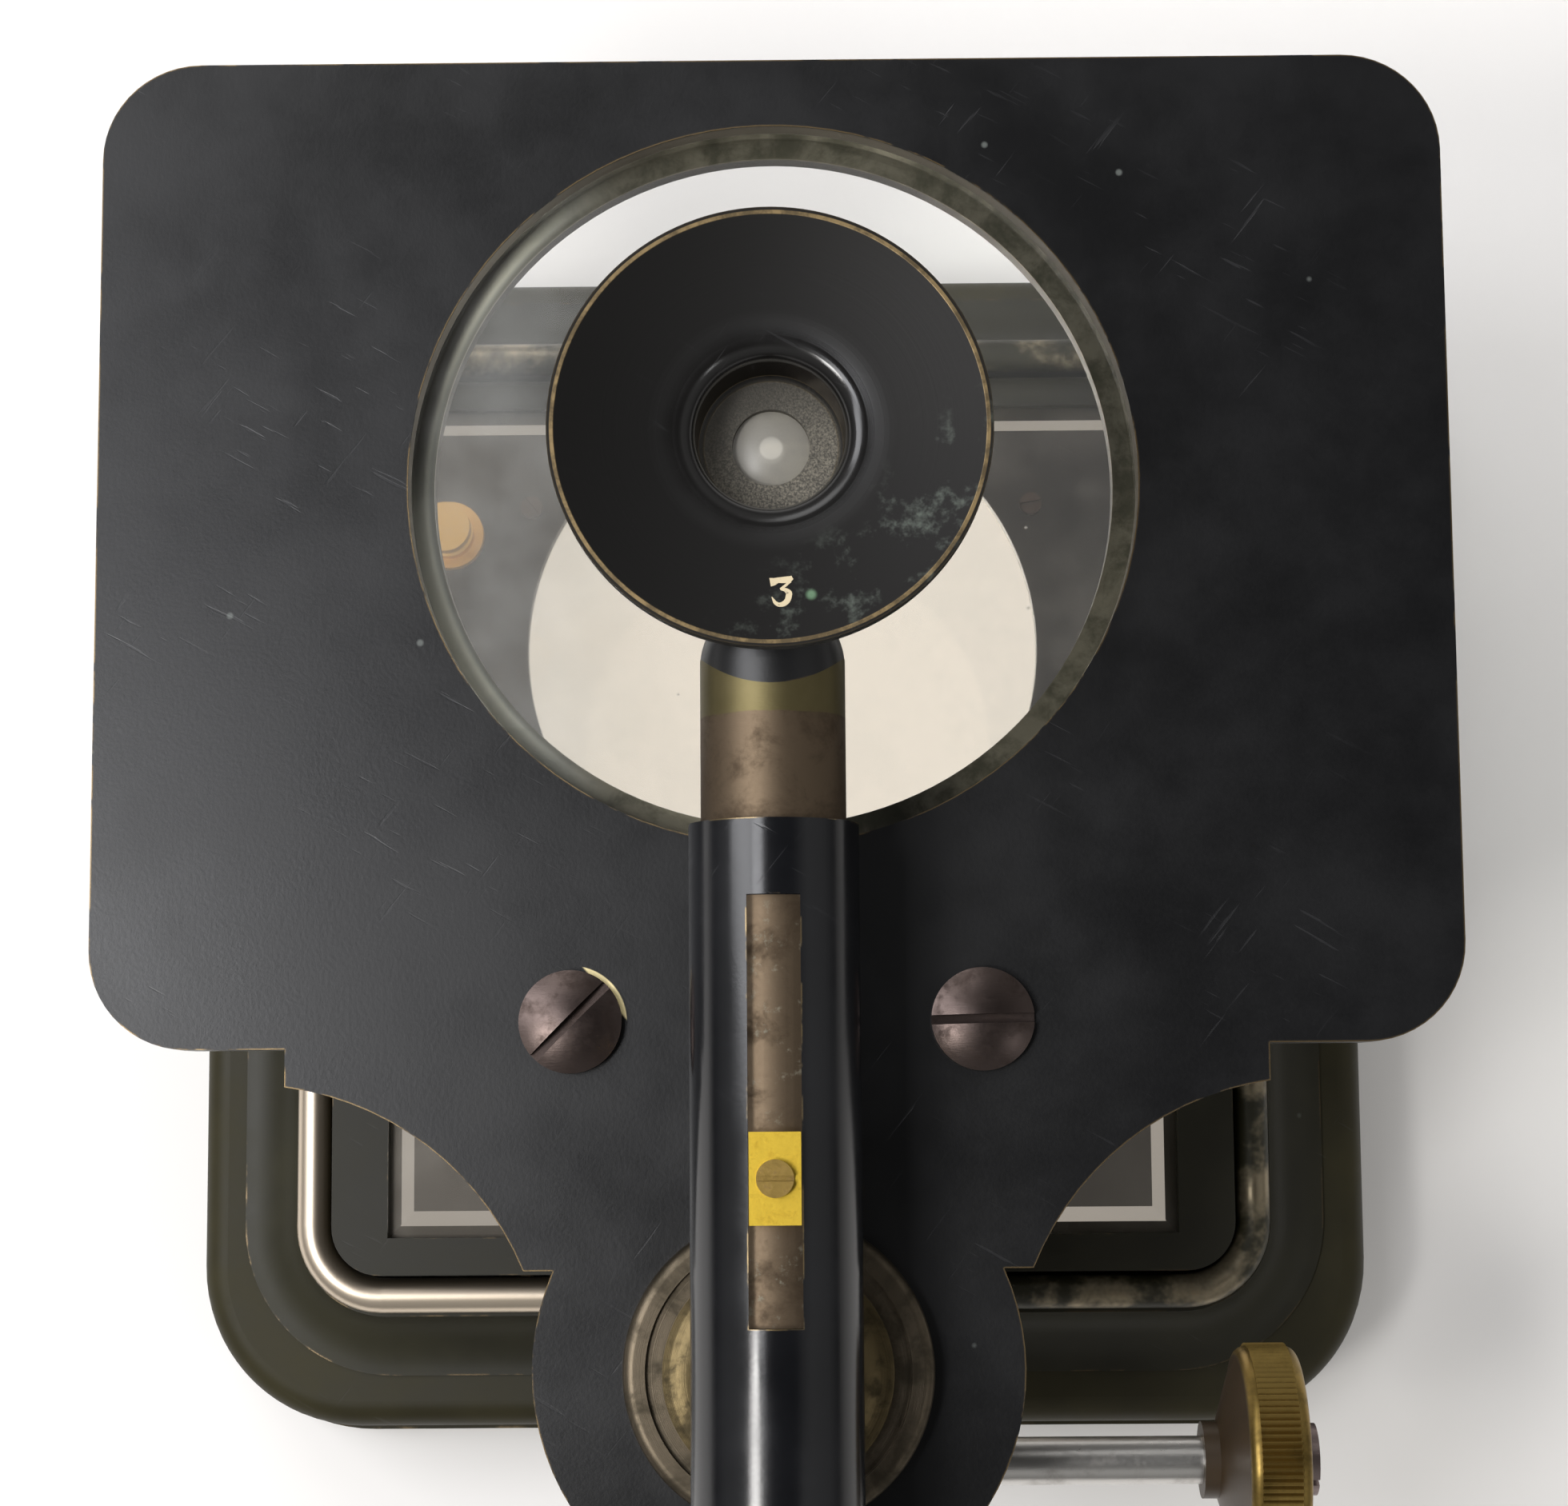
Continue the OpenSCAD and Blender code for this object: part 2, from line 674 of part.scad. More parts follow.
module stage_screws() {
    dome_r = (screw_head_r * screw_head_r + screw_head_h * screw_head_h) / (2 * screw_head_h);
    turns = [45, 1];
    color([0.30, 0.24, 0.23]) for (k = [0, 1]) {
        translate([(2 * k - 1) * screw_x, pillar_y + screw_y, stage_z]) difference() {
            union() {
                intersection() {
                    cylinder(r = screw_head_r, h = screw_head_top);
                    translate([0, 0, screw_head_top - dome_r]) sphere(dome_r);
                }
                translate([0, 0, slop - screw_l]) cylinder(r = screw_r, h = screw_l);
            }
            translate([0, 0, screw_head_top]) screw_slot(screw_head_r, 0.75, 1.4, turns[k]);
        }
    }
}

module ring_screw_places() {
    for (k = [0:ring_screws_n - 1]) {
        at_lens() rotate(30 + 360 / ring_screws_n * k)
            translate([ring_screw_pcr, 0, stage_under - ring_t]) rotate([180, 0, 0]) children();
    }
}

module glass_ring() {
    color([0.28, 0.24, 0.16]) difference() {
        at_lens() translate([0, 0, stage_under - ring_t]) difference() {
            cylinder(r = hole_r + ring_rim, h = ring_t);
            translate([0, 0, -1]) cylinder(r = hole_r - glass_ledge, h = ring_t + 2);
        }
        ring_screw_places() translate([0, 0, -ring_t - 1]) cylinder(r = small_screw_r, h = ring_t + 2);
    }
}

module ring_screws() {
    color([0.42, 0.35, 0.20]) ring_screw_places() small_screw(ring_t, 20);
}

module stage_glass() {
    color([0.75, 0.80, 0.76, 0.4]) at_lens() translate([0, 0, stage_under])
        cylinder(r = glass_r, h = glass_t);
}

module stage_stud() {
    color([0.72, 0.52, 0.22]) translate([-stud_x, pillar_y + stud_y, stage_under - stud_l]) difference() {
        union() {
            cylinder(r = stud_r, h = stud_l);
            translate([0, 0, stud_l - 1.4]) cylinder(r = stud_r + 1, h = 1.4);
        }
        translate([0, 0, stud_l / 2 - 0.6]) rotate_extrude() translate([stud_r + 0.35, 0]) circle(0.9);
    }
}

// Pinion housing: a drum across the back of the pillar, split at the pinion's axis
module drum_space() {
    on_shaft() translate([0, 0, -cavity_half]) cylinder(r = cavity_r, h = 2 * cavity_half);
    on_shaft() translate([0, 0, -drum_half - 1]) cylinder(r = shaft_r + run_gap, h = 2 * drum_half + 2);
    for (s = [-1, 1]) {
        on_shaft() translate([0, 0, s * (bush_in + drum_half + 1) / 2])
            cylinder(r = bush_r, h = drum_half + 1 - bush_in, center = true);
    }
}

module cover_screw_places() {
    for (sx = [-1, 1], sz = [-1, 1]) {
        translate([sx * cover_screw_x, pillar_y + pinion_y - cover_seat, pinion_z + sz * cover_screw_z])
            rotate([90, 0, 0]) children();
    }
}

module pinion_housing() {
    color([0.08, 0.08, 0.085]) difference() {
        translate([-drum_half, pillar_y + pinion_y, pinion_z - drum_r])
            cube([2 * drum_half, -pinion_y - 1.5, 2 * drum_r]);
        at_pillar() cylinder(r = pillar_r, h = stage_z);
        drum_space();
        cover_screw_places() translate([0, 0, -cover_seat - cover_hold])
            cylinder(r = small_screw_r, h = cover_hold + 1);
    }
}

module housing_cover() {
    color([0.09, 0.09, 0.095]) difference() {
        on_shaft() translate([0, 0, -drum_half]) cylinder(r = drum_r, h = 2 * drum_half);
        translate([-drum_half - 1, pillar_y + pinion_y, pinion_z - drum_r - 1])
            cube([2 * drum_half + 2, drum_r + 1, 2 * drum_r + 2]);
        drum_space();
        cover_screw_places() cylinder(r = small_head_r + 0.2, h = drum_r);
        cover_screw_places() translate([0, 0, -cover_seat - 1]) cylinder(r = small_screw_r, h = drum_r);
    }
}

module cover_screws() {
    color([0.33, 0.28, 0.26]) cover_screw_places() small_screw(cover_seat + cover_hold, 25);
}

module shaft_bushes() {
    color([0.62, 0.46, 0.20]) for (s = [-1, 1]) {
        on_shaft() rotate([0, 90 - s * 90, 0]) difference() {
            union() {
                translate([0, 0, bush_in]) cylinder(r = bush_r, h = drum_half - bush_in);
                translate([0, 0, drum_half]) cylinder(r = bush_r + 1, h = bush_lip);
            }
            cylinder(r = shaft_r + run_gap, h = drum_half + bush_lip + 1);
        }
    }
}

// Rod and rack
module rack_screw_places() {
    for (z = [rack_low + rack_end / 2, rack_top - rack_end / 2]) {
        translate([0, pillar_y + rack_root_y, z]) rotate([90, 0, 0]) children();
    }
}

module focus_rod() {
    color([0.50, 0.40, 0.22]) difference() {
        at_pillar() translate([0, 0, rod_z]) cylinder(r = rod_r, h = rod_top - rod_z);
        at_pillar() translate([0, 0, socket_z]) cylinder(r = spigot_r + run_gap, h = rod_top);
        at_pillar() translate([-rack_w / 2, -rod_r - 1, rack_low])
            cube([rack_w, rod_r + 1 + rack_back_y, rack_top - rack_low]);
        rack_screw_places() translate([0, 0, -rack_plate - rack_hold])
            cylinder(r = small_screw_r, h = 2 * rack_hold);
    }
}

// One rack tooth in the Y-Z plane, pointing to -Y about its own centre line
function rack_flank(up) = tooth_pitch / 4 - backlash / 2 - up * tan(pressure);

module rack_outline() {
    polygon([[rack_back_y, rack_low], [rack_root_y, rack_low], [rack_root_y, rack_top],
        [rack_back_y, rack_top]]);
    for (k = [0:rack_teeth - 1]) {
        translate([0, teeth_low + (k + 0.5) * tooth_pitch]) polygon([
            [rack_root_y + slop, -rack_flank(-rack_down)],
            [rack_tip_y, -rack_flank(rack_up)],
            [rack_tip_y, rack_flank(rack_up)],
            [rack_root_y + slop, rack_flank(-rack_down)]]);
    }
}

module focus_rack() {
    color([0.62, 0.48, 0.24]) difference() {
        at_pillar() rotate([90, 0, 90]) translate([0, 0, -rack_w / 2])
            linear_extrude(rack_w) rack_outline();
        rack_screw_places() translate([0, 0, -rack_plate - 1])
            cylinder(r = small_screw_r, h = rack_plate + 2);
    }
}

module rack_screws() {
    head = rack_down;
    color([0.33, 0.28, 0.26]) rack_screw_places() difference() {
        union() {
            cylinder(r = small_head_r, h = head);
            translate([0, 0, -rack_plate - rack_hold])
                cylinder(r = small_screw_r, h = rack_plate + rack_hold + slop);
        }
        translate([0, 0, head]) screw_slot(small_head_r, 0.4, 0.5, 0);
    }
}

// Pinion with involute flanks: points at radius r stand off the tooth's centre line by this angle
function inv_angle(r) = let (base_r = pitch_r * cos(pressure), a = acos(base_r / max(r, base_r)))
    tan(a) * 180 / PI - a;
function half_tooth(r) = (90 / pinion_teeth) - backlash / 4 / pitch_r * 180 / PI
    + inv_angle(pitch_r) - inv_angle(r);
function on_circle(r, a) = [r * cos(a), r * sin(a)];

module pinion_outline() {
    flank = [for (k = [0:4]) pinion_root_r + (pinion_tip_r - pinion_root_r) * k / 4];
    circle(pinion_root_r + slop);
    for (t = [0:pinion_teeth - 1]) {
        rotate(360 / pinion_teeth * t) polygon(concat(
            [[0, 0]],
            [for (r = flank) on_circle(r, -half_tooth(r))],
            [for (k = [4:-1:0]) on_circle(flank[k], half_tooth(flank[k]))]));
    }
}

module pinion() {
    color([0.66, 0.52, 0.27]) translate([0, pillar_y + pinion_y, pinion_z]) rotate([90, 0, 90])
        translate([0, 0, -pinion_half]) difference() {
            linear_extrude(2 * pinion_half) pinion_outline();
            translate([0, 0, -1]) cylinder(r = shaft_r, h = 2 * pinion_half + 2);
        }
}

module pinion_shaft() {
    color([0.55, 0.52, 0.48]) difference() {
        on_shaft() translate([0, 0, -drum_half - bush_lip - shaft_end])
            cylinder(r = shaft_r, h = drum_half + bush_lip + shaft_end + knob_x + knob_w);
        on_shaft() translate([0, 0, knob_x + knob_w - knob_screw_l])
            cylinder(r = knob_screw_r, h = knob_screw_l + 1);
    }
}

module knurl_outline() {
    polygon([for (k = [0:2 * knurl_ridges - 1])
        on_circle(knob_r - (k % 2) * knurl_d, 180 / knurl_ridges * k)]);
}

module focus_knob() {
    edge = knob_edge;
    groove_in = knob_head_r + 1.2;
    groove_out = knob_r - 2.6;
    color([0.62, 0.45, 0.17]) difference() {
        union() {
            on_shaft() translate([0, 0, knob_x + edge]) linear_extrude(knob_w - 2 * edge) knurl_outline();
            for (x = [knob_x + edge, knob_x + knob_w - edge]) {
                on_shaft() translate([0, 0, x]) rotate_extrude()
                    translate([knob_r - knurl_d - edge, 0]) circle(edge);
            }
            on_shaft() translate([0, 0, knob_x]) cylinder(r = knob_r - knurl_d - edge, h = knob_w);
            on_shaft() translate([0, 0, knob_x - hub_l]) cylinder(r = hub_r, h = hub_l + slop);
            on_shaft() translate([0, 0, knob_x - cone_l])
                cylinder(r1 = hub_r, r2 = knob_r - knurl_d - edge, h = cone_l);
        }
        on_shaft() translate([0, 0, knob_x - hub_l - 1]) cylinder(r = shaft_r, h = hub_l + knob_w + 2);
        on_shaft() translate([0, 0, knob_x + knob_w - 0.8]) difference() {
            cylinder(r = groove_out, h = 1);
            translate([0, 0, -1]) cylinder(r = groove_in, h = 3);
        }
    }
}

module knob_screw() {
    color([0.36, 0.31, 0.29]) on_shaft() translate([0, 0, knob_x + knob_w]) difference() {
        union() {
            cylinder(r = knob_head_r, h = knob_head_h);
            translate([0, 0, -knob_screw_l]) cylinder(r = knob_screw_r, h = knob_screw_l + slop);
        }
        translate([0, 0, knob_head_h]) screw_slot(knob_head_r, 0.6, 0.8, 35);
    }
}

// Arm
module arm_boss() {
    sweep_r = boss_r - boss_neck_r - 0.3;
    color([0.34, 0.25, 0.14]) difference() {
        at_pillar() union() {
            translate([0, 0, rod_top]) cylinder(r = boss_r, h = boss_lip);
            translate([0, 0, rod_top + boss_lip - slop]) rotate_extrude() difference() {
                square([boss_neck_r + sweep_r, sweep_r]);
                translate([boss_neck_r + sweep_r, sweep_r]) circle(sweep_r);
            }
            translate([0, 0, rod_top]) cylinder(r = boss_neck_r, h = arm_z - rod_top);
            translate([0, 0, rod_top - spigot_l]) cylinder(r = spigot_r, h = spigot_l + slop);
        }
        on_arm(-boss_r - 1) cylinder(r = arm_r, h = 2 * boss_r + 2);
    }
}

module arm_tube() {
    color([0.06, 0.06, 0.065]) difference() {
        on_arm(-arm_back) cylinder(r = arm_r, h = arm_back + arm_front);
        on_arm(-arm_back - 1) cylinder(r = bore_r, h = arm_back + arm_front + 2);
        translate([-slot_w / 2, pillar_y + slot_back, arm_z])
            cube([slot_w, slot_front - slot_back, arm_r + 1]);
    }
}

module arm_end_cap() {
    color([0.07, 0.07, 0.075]) union() {
        on_arm(-arm_back) cylinder(r = bore_r, h = cap_plug);
        on_arm(-arm_back - cap_t) rotate_extrude() {
            translate([arm_r - cap_t, cap_t]) intersection() {
                circle(cap_t);
                translate([0, -cap_t]) square([cap_t, cap_t]);
            }
            square([arm_r - cap_t, cap_t]);
        }
    }
}

module draw_tube() {
    color([0.36, 0.29, 0.16]) difference() {
        on_arm(draw_back) cylinder(r = draw_r, h = cope_y - 5 - draw_back);
        on_arm(draw_back - 1) cylinder(r = draw_bore_r, h = cope_y);
        translate([0, pillar_y + cope_y, arm_z - draw_r - 1]) cylinder(r = cope_r, h = 2 * draw_r + 2);
        guide_place() translate([0, 0, -3]) cylinder(r = small_screw_r, h = 6);
    }
}

module guide_place() {
    translate([0, pillar_y + block_y + block_l / 2, arm_z + draw_r]) children();
}

module guide_block() {
    block_w = slot_w - 3 * run_gap;
    color([0.78, 0.58, 0.12]) difference() {
        translate([-block_w / 2, pillar_y + block_y, arm_z])
            cube([block_w, block_l, arm_r + block_proud]);
        on_arm(block_y - 1) cylinder(r = draw_r, h = block_l + 2);
        guide_place() translate([0, 0, -1]) cylinder(r = small_screw_r, h = 6);
    }
}

module guide_screw() {
    head_z = arm_r + block_proud - draw_r;
    color([0.66, 0.50, 0.16]) guide_place() difference() {
        union() {
            translate([0, 0, head_z]) cylinder(r = guide_head_r, h = guide_head_h);
            translate([0, 0, -draw_wall]) cylinder(r = small_screw_r, h = head_z + draw_wall + slop);
        }
        translate([0, 0, head_z + guide_head_h]) screw_slot(guide_head_r, 0.4, 0.4, 0);
    }
}

module tube_nose() {
    color([0.05, 0.05, 0.055]) difference() {
        union() {
            intersection() {
                union() {
                    on_arm(cope_y - cope_r - 2) cylinder(r = draw_r, h = dome_y - cope_y + cope_r + 2);
                    on_arm(dome_y) sphere(draw_r);
                }
                translate([0, pillar_y + cope_y, arm_z - draw_r - 1])
                    cylinder(r = cope_r, h = 2 * draw_r + 2);
            }
            on_arm(cope_y - cope_r - nose_plug) cylinder(r = draw_bore_r, h = nose_plug + 1);
        }
        bar_rod();
    }
}

module bar_rod() {
    translate([0, pillar_y + cope_y - 3, bar_z]) rotate([-90, 0, 0])
        cylinder(r = bar_r, h = lens_y - cope_y + 3);
}

module lens_ring() {
    color([0.05, 0.05, 0.055]) difference() {
        union() {
            bar_rod();
            at_lens() translate([0, 0, ring_z]) cylinder(r = ring_r, h = lens_ring_h - 0.5);
            at_lens() translate([0, 0, ring_z]) cylinder(r = ring_r - 0.5, h = lens_ring_h);
        }
        at_lens() translate([0, 0, ring_z - 1]) cylinder(r = ring_bore_r, h = lens_ring_h + 2);
    }
}

// Doublet
module cup_profile() {
    rise = rim_z - cup_rim_t;
    difference() {
        polygon([[eye_open_r, cup_low], [barrel_bore_r, cup_low], [barrel_bore_r, ring_top],
            [barrel_r + 1.2, ring_top], [cup_r - 2.4, rise - 0.5], [cup_r, rise], [cup_r, rim_z],
            [eye_open_r, rim_z]]);
        translate([0, dish_z]) circle(dish_r);
        polygon([[0, rim_z], [lip_edge_x, rim_z], [lip_edge_x, lip_z], [recess_r, lip_z],
            [recess_r - 0.1, floor_z + 0.5], [floor_r, floor_z], [0, floor_z]]);
    }
    translate([lip_x, lip_z]) circle(lip_r);
}

module doublet_cup() {
    color([0.06, 0.057, 0.055]) at_lens() rotate_extrude() cup_profile();
}

module doublet_barrel() {
    color([0.10, 0.09, 0.08]) at_lens() difference() {
        union() {
            translate([0, 0, ring_z + 0.4]) cylinder(r = barrel_r, h = ring_top - ring_z - 0.4);
            translate([0, 0, tip_z]) cylinder(r1 = keeper_r + 1, r2 = barrel_r, h = ring_z + 0.4 - tip_z);
        }
        translate([0, 0, stop_z]) cylinder(r = barrel_bore_r, h = ring_top);
        translate([0, 0, tip_z - 1]) cylinder(r = lower_r, h = ring_top);
        translate([0, 0, tip_z - 1]) cylinder(r = keeper_r, h = lower_z - tip_z + 1);
    }
}

// Radius of a lens's convex face, and how far that face lies below its crown at radius x
function crown_ball(r) = (r * r + lens_crown * lens_crown) / (2 * lens_crown);
function crown_drop(r, x) = crown_ball(r) - sqrt(crown_ball(r) * crown_ball(r) - x * x);

// Plano-convex lens, flat side down
module lens_blank(r, t) {
    intersection() {
        cylinder(r = r, h = t);
        translate([0, 0, t - crown_ball(r)]) sphere(crown_ball(r));
    }
}

module upper_lens() {
    color([0.78, 0.82, 0.80, 0.4]) at_lens() translate([0, 0, upper_z]) lens_blank(upper_r, upper_t);
}

module upper_cell() {
    color([0.20, 0.17, 0.12]) at_lens() translate([0, 0, upper_z]) difference() {
        cylinder(r = barrel_bore_r, h = cup_low - upper_z);
        translate([0, 0, -1]) cylinder(r = upper_r, h = upper_t + 2);
    }
}

module diaphragm() {
    color([0.12, 0.11, 0.10]) at_lens() translate([0, 0, stop_z]) difference() {
        cylinder(r = barrel_bore_r, h = stop_t);
        translate([0, 0, -1]) cylinder(r = aperture_r, h = stop_t + 2);
    }
}

module lower_lens() {
    color([0.78, 0.82, 0.80, 0.4]) at_lens() translate([0, 0, lower_z]) lens_blank(lower_r, lower_t);
}

module lens_keeper() {
    color([0.40, 0.33, 0.20]) at_lens() translate([0, 0, tip_z]) difference() {
        cylinder(r = keeper_r, h = lower_z - tip_z);
        translate([0, 0, -1]) cylinder(r = lower_r - 0.7, h = lower_z - tip_z + 2);
    }
}

// Mirror
module mirror_frame() {
    color([0.13, 0.125, 0.11]) difference() {
        union() {
            difference() {
                translate([0, mirror_y, frame_low_z]) linear_extrude(mirror_z - frame_low_z)
                    round_rect(frame_w, frame_l, ridge_corner_r - pass_gap);
                translate([-frame_w, hinge_y, frame_low_z - 1])
                    cube([2 * frame_w, frame_l, mirror_z]);
            }
            intersection() {
                translate([-frame_w / 2, hinge_y, hinge_z]) rotate([0, 90, 0])
                    cylinder(r = hinge_r, h = frame_w);
                translate([0, mirror_y, 0]) linear_extrude(stage_z)
                    round_rect(frame_w - 2 * pass_gap, frame_l, ridge_corner_r + 1.6);
            }
        }
        translate([0, mirror_y, mirror_back_z]) linear_extrude(mirror_t + 1)
            square([mirror_w, mirror_l], center = true);
        translate([0, mirror_y, frame_low_z - 1]) linear_extrude(frame_under + mirror_t)
            square([mirror_w - 2 * mirror_ledge, mirror_l - 2 * mirror_ledge], center = true);
        at_pillar() cylinder(r = pillar_r + pass_gap, h = stage_z);
        pivot_places() translate([0, 0, -pass_gap - pivot_reach - 1])
            cylinder(r = pivot_r + run_gap, h = pivot_reach + 3);
        button_place() translate([0, 0, -2]) cylinder(r = small_screw_r, h = 3);
    }
}

// Edge profile of the bevelled glass, as wide as the glass one way
module bevel_profile(w) {
    polygon([[-w / 2, 0], [w / 2, 0], [w / 2, mirror_t - bevel_d], [w / 2 - bevel_w, mirror_t],
        [bevel_w - w / 2, mirror_t], [-w / 2, mirror_t - bevel_d]]);
}

module mirror_glass() {
    color([0.55, 0.58, 0.54]) translate([0, mirror_y, mirror_back_z]) intersection() {
        rotate([90, 0, 0]) linear_extrude(mirror_l, center = true) bevel_profile(mirror_w);
        rotate([90, 0, 90]) linear_extrude(mirror_w, center = true) bevel_profile(mirror_l);
    }
}

module mirror_backing() {
    color([0.24, 0.18, 0.12]) translate([0, mirror_y, mirror_back_z - backing_t]) linear_extrude(backing_t)
        square([mirror_w - 2 * mirror_ledge, mirror_l - 2 * mirror_ledge], center = true);
}

module button_place() {
    translate([button_x, mirror_y - frame_l / 2 + end_rail / 2, mirror_z]) children();
}

module mirror_button() {
    color([0.60, 0.46, 0.22]) button_place() {
        cylinder(r = button_r - 0.4, h = button_h);
        translate([0, 0, button_h - 1.2]) cylinder(r = button_r, h = 0.9);
        translate([0, 0, -2]) cylinder(r = small_screw_r, h = 2 + slop);
    }
}

base();
base_weight();
base_plate();
plate_screws();
mirror_moulding();
mirror_pivots();
pillar();
pillar_flange();
pillar_collar();
stage_bracket();
stage_plate();
stage_screws();
glass_ring();
ring_screws();
stage_glass();
stage_stud();
pinion_housing();
housing_cover();
cover_screws();
shaft_bushes();
focus_rod();
focus_rack();
rack_screws();
pinion_shaft();
pinion();
focus_knob();
knob_screw();
arm_boss();
arm_tube();
arm_end_cap();
draw_tube();
guide_block();
guide_screw();
tube_nose();
lens_ring();
doublet_cup();
doublet_barrel();
upper_lens();
upper_cell();
diaphragm();
lower_lens();
lens_keeper();
mirror_frame();
mirror_glass();
mirror_backing();
mirror_button();
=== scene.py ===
"""A simple microscope of black-lacquered brass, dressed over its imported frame.

Lengths are metres in the frame's own axes: X to the stage's right, Y away from the pillar, Z up.
"""
import json
import math

import bpy
import numpy as np
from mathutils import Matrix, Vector


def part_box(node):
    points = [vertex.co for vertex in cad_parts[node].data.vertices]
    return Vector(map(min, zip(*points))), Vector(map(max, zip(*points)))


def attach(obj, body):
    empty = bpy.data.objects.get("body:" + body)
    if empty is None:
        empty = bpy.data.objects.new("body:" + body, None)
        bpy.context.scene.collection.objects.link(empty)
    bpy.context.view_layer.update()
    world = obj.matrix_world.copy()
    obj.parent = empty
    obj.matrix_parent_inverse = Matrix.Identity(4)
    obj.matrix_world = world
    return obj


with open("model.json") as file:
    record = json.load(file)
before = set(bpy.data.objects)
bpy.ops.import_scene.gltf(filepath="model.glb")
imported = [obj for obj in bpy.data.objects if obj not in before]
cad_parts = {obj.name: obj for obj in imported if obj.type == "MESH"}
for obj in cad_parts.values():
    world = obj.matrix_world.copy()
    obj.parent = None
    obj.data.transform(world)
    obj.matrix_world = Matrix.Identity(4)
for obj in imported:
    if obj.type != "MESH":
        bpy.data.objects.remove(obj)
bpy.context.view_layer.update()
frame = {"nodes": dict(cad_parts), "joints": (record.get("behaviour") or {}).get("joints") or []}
NODES = frame["nodes"]
MM = 0.001


# Places worked out from the frame
def upright_axis(node):
    """The foot of the upright axis through the middle of a node's depth, with x at 0."""
    low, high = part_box(node)
    return (0, (low.y + high.y) / 2, 0)


def half_depth(node):
    """Half a node's size along Y: the radius of a round one."""
    low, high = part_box(node)
    return (high.y - low.y) / 2


def top_of(node):
    """The height of a node's highest point."""
    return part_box(node)[1].z


LENS = upright_axis("doublet_cup")
PILLAR = upright_axis("pillar")
PINION = next(joint["pos_m"] for joint in frame["joints"] if joint["name"] == "pinion_turn")
STAGE_TOP = top_of("stage_plate")
RING_TOP = top_of("glass_ring")
CUP_TOP = top_of("doublet_cup")
MOULDING_TOP = top_of("mirror_moulding")
CUP_R = half_depth("doublet_cup")
DRAW_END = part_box("draw_tube")[1].y
KNOB_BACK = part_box("focus_knob")[0].x
KNOB_R = half_depth("focus_knob")
HEAD_R = half_depth("stage_screws")
heads_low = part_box("stage_screws")[0]
LEFT_SCREW = (heads_low.x + HEAD_R, heads_low.y + HEAD_R, 0)

# Sizes of the stage's hole, the cup's eye recess and the sphere that the dish is cut by
HOLE_R = 29.7 * MM
RECESS_R = 5.7 * MM
DISH_CENTRE_Z = 150.6 * MM
DISH_R = 54.59 * MM

# A Mix node's sockets by number, because those for numbers and colours have the same names
MIX_SHARE = 0
MIX_NUMBERS = (2, 3)
MIX_COLOURS = (6, 7)
MIX_COLOUR_OUT = 2


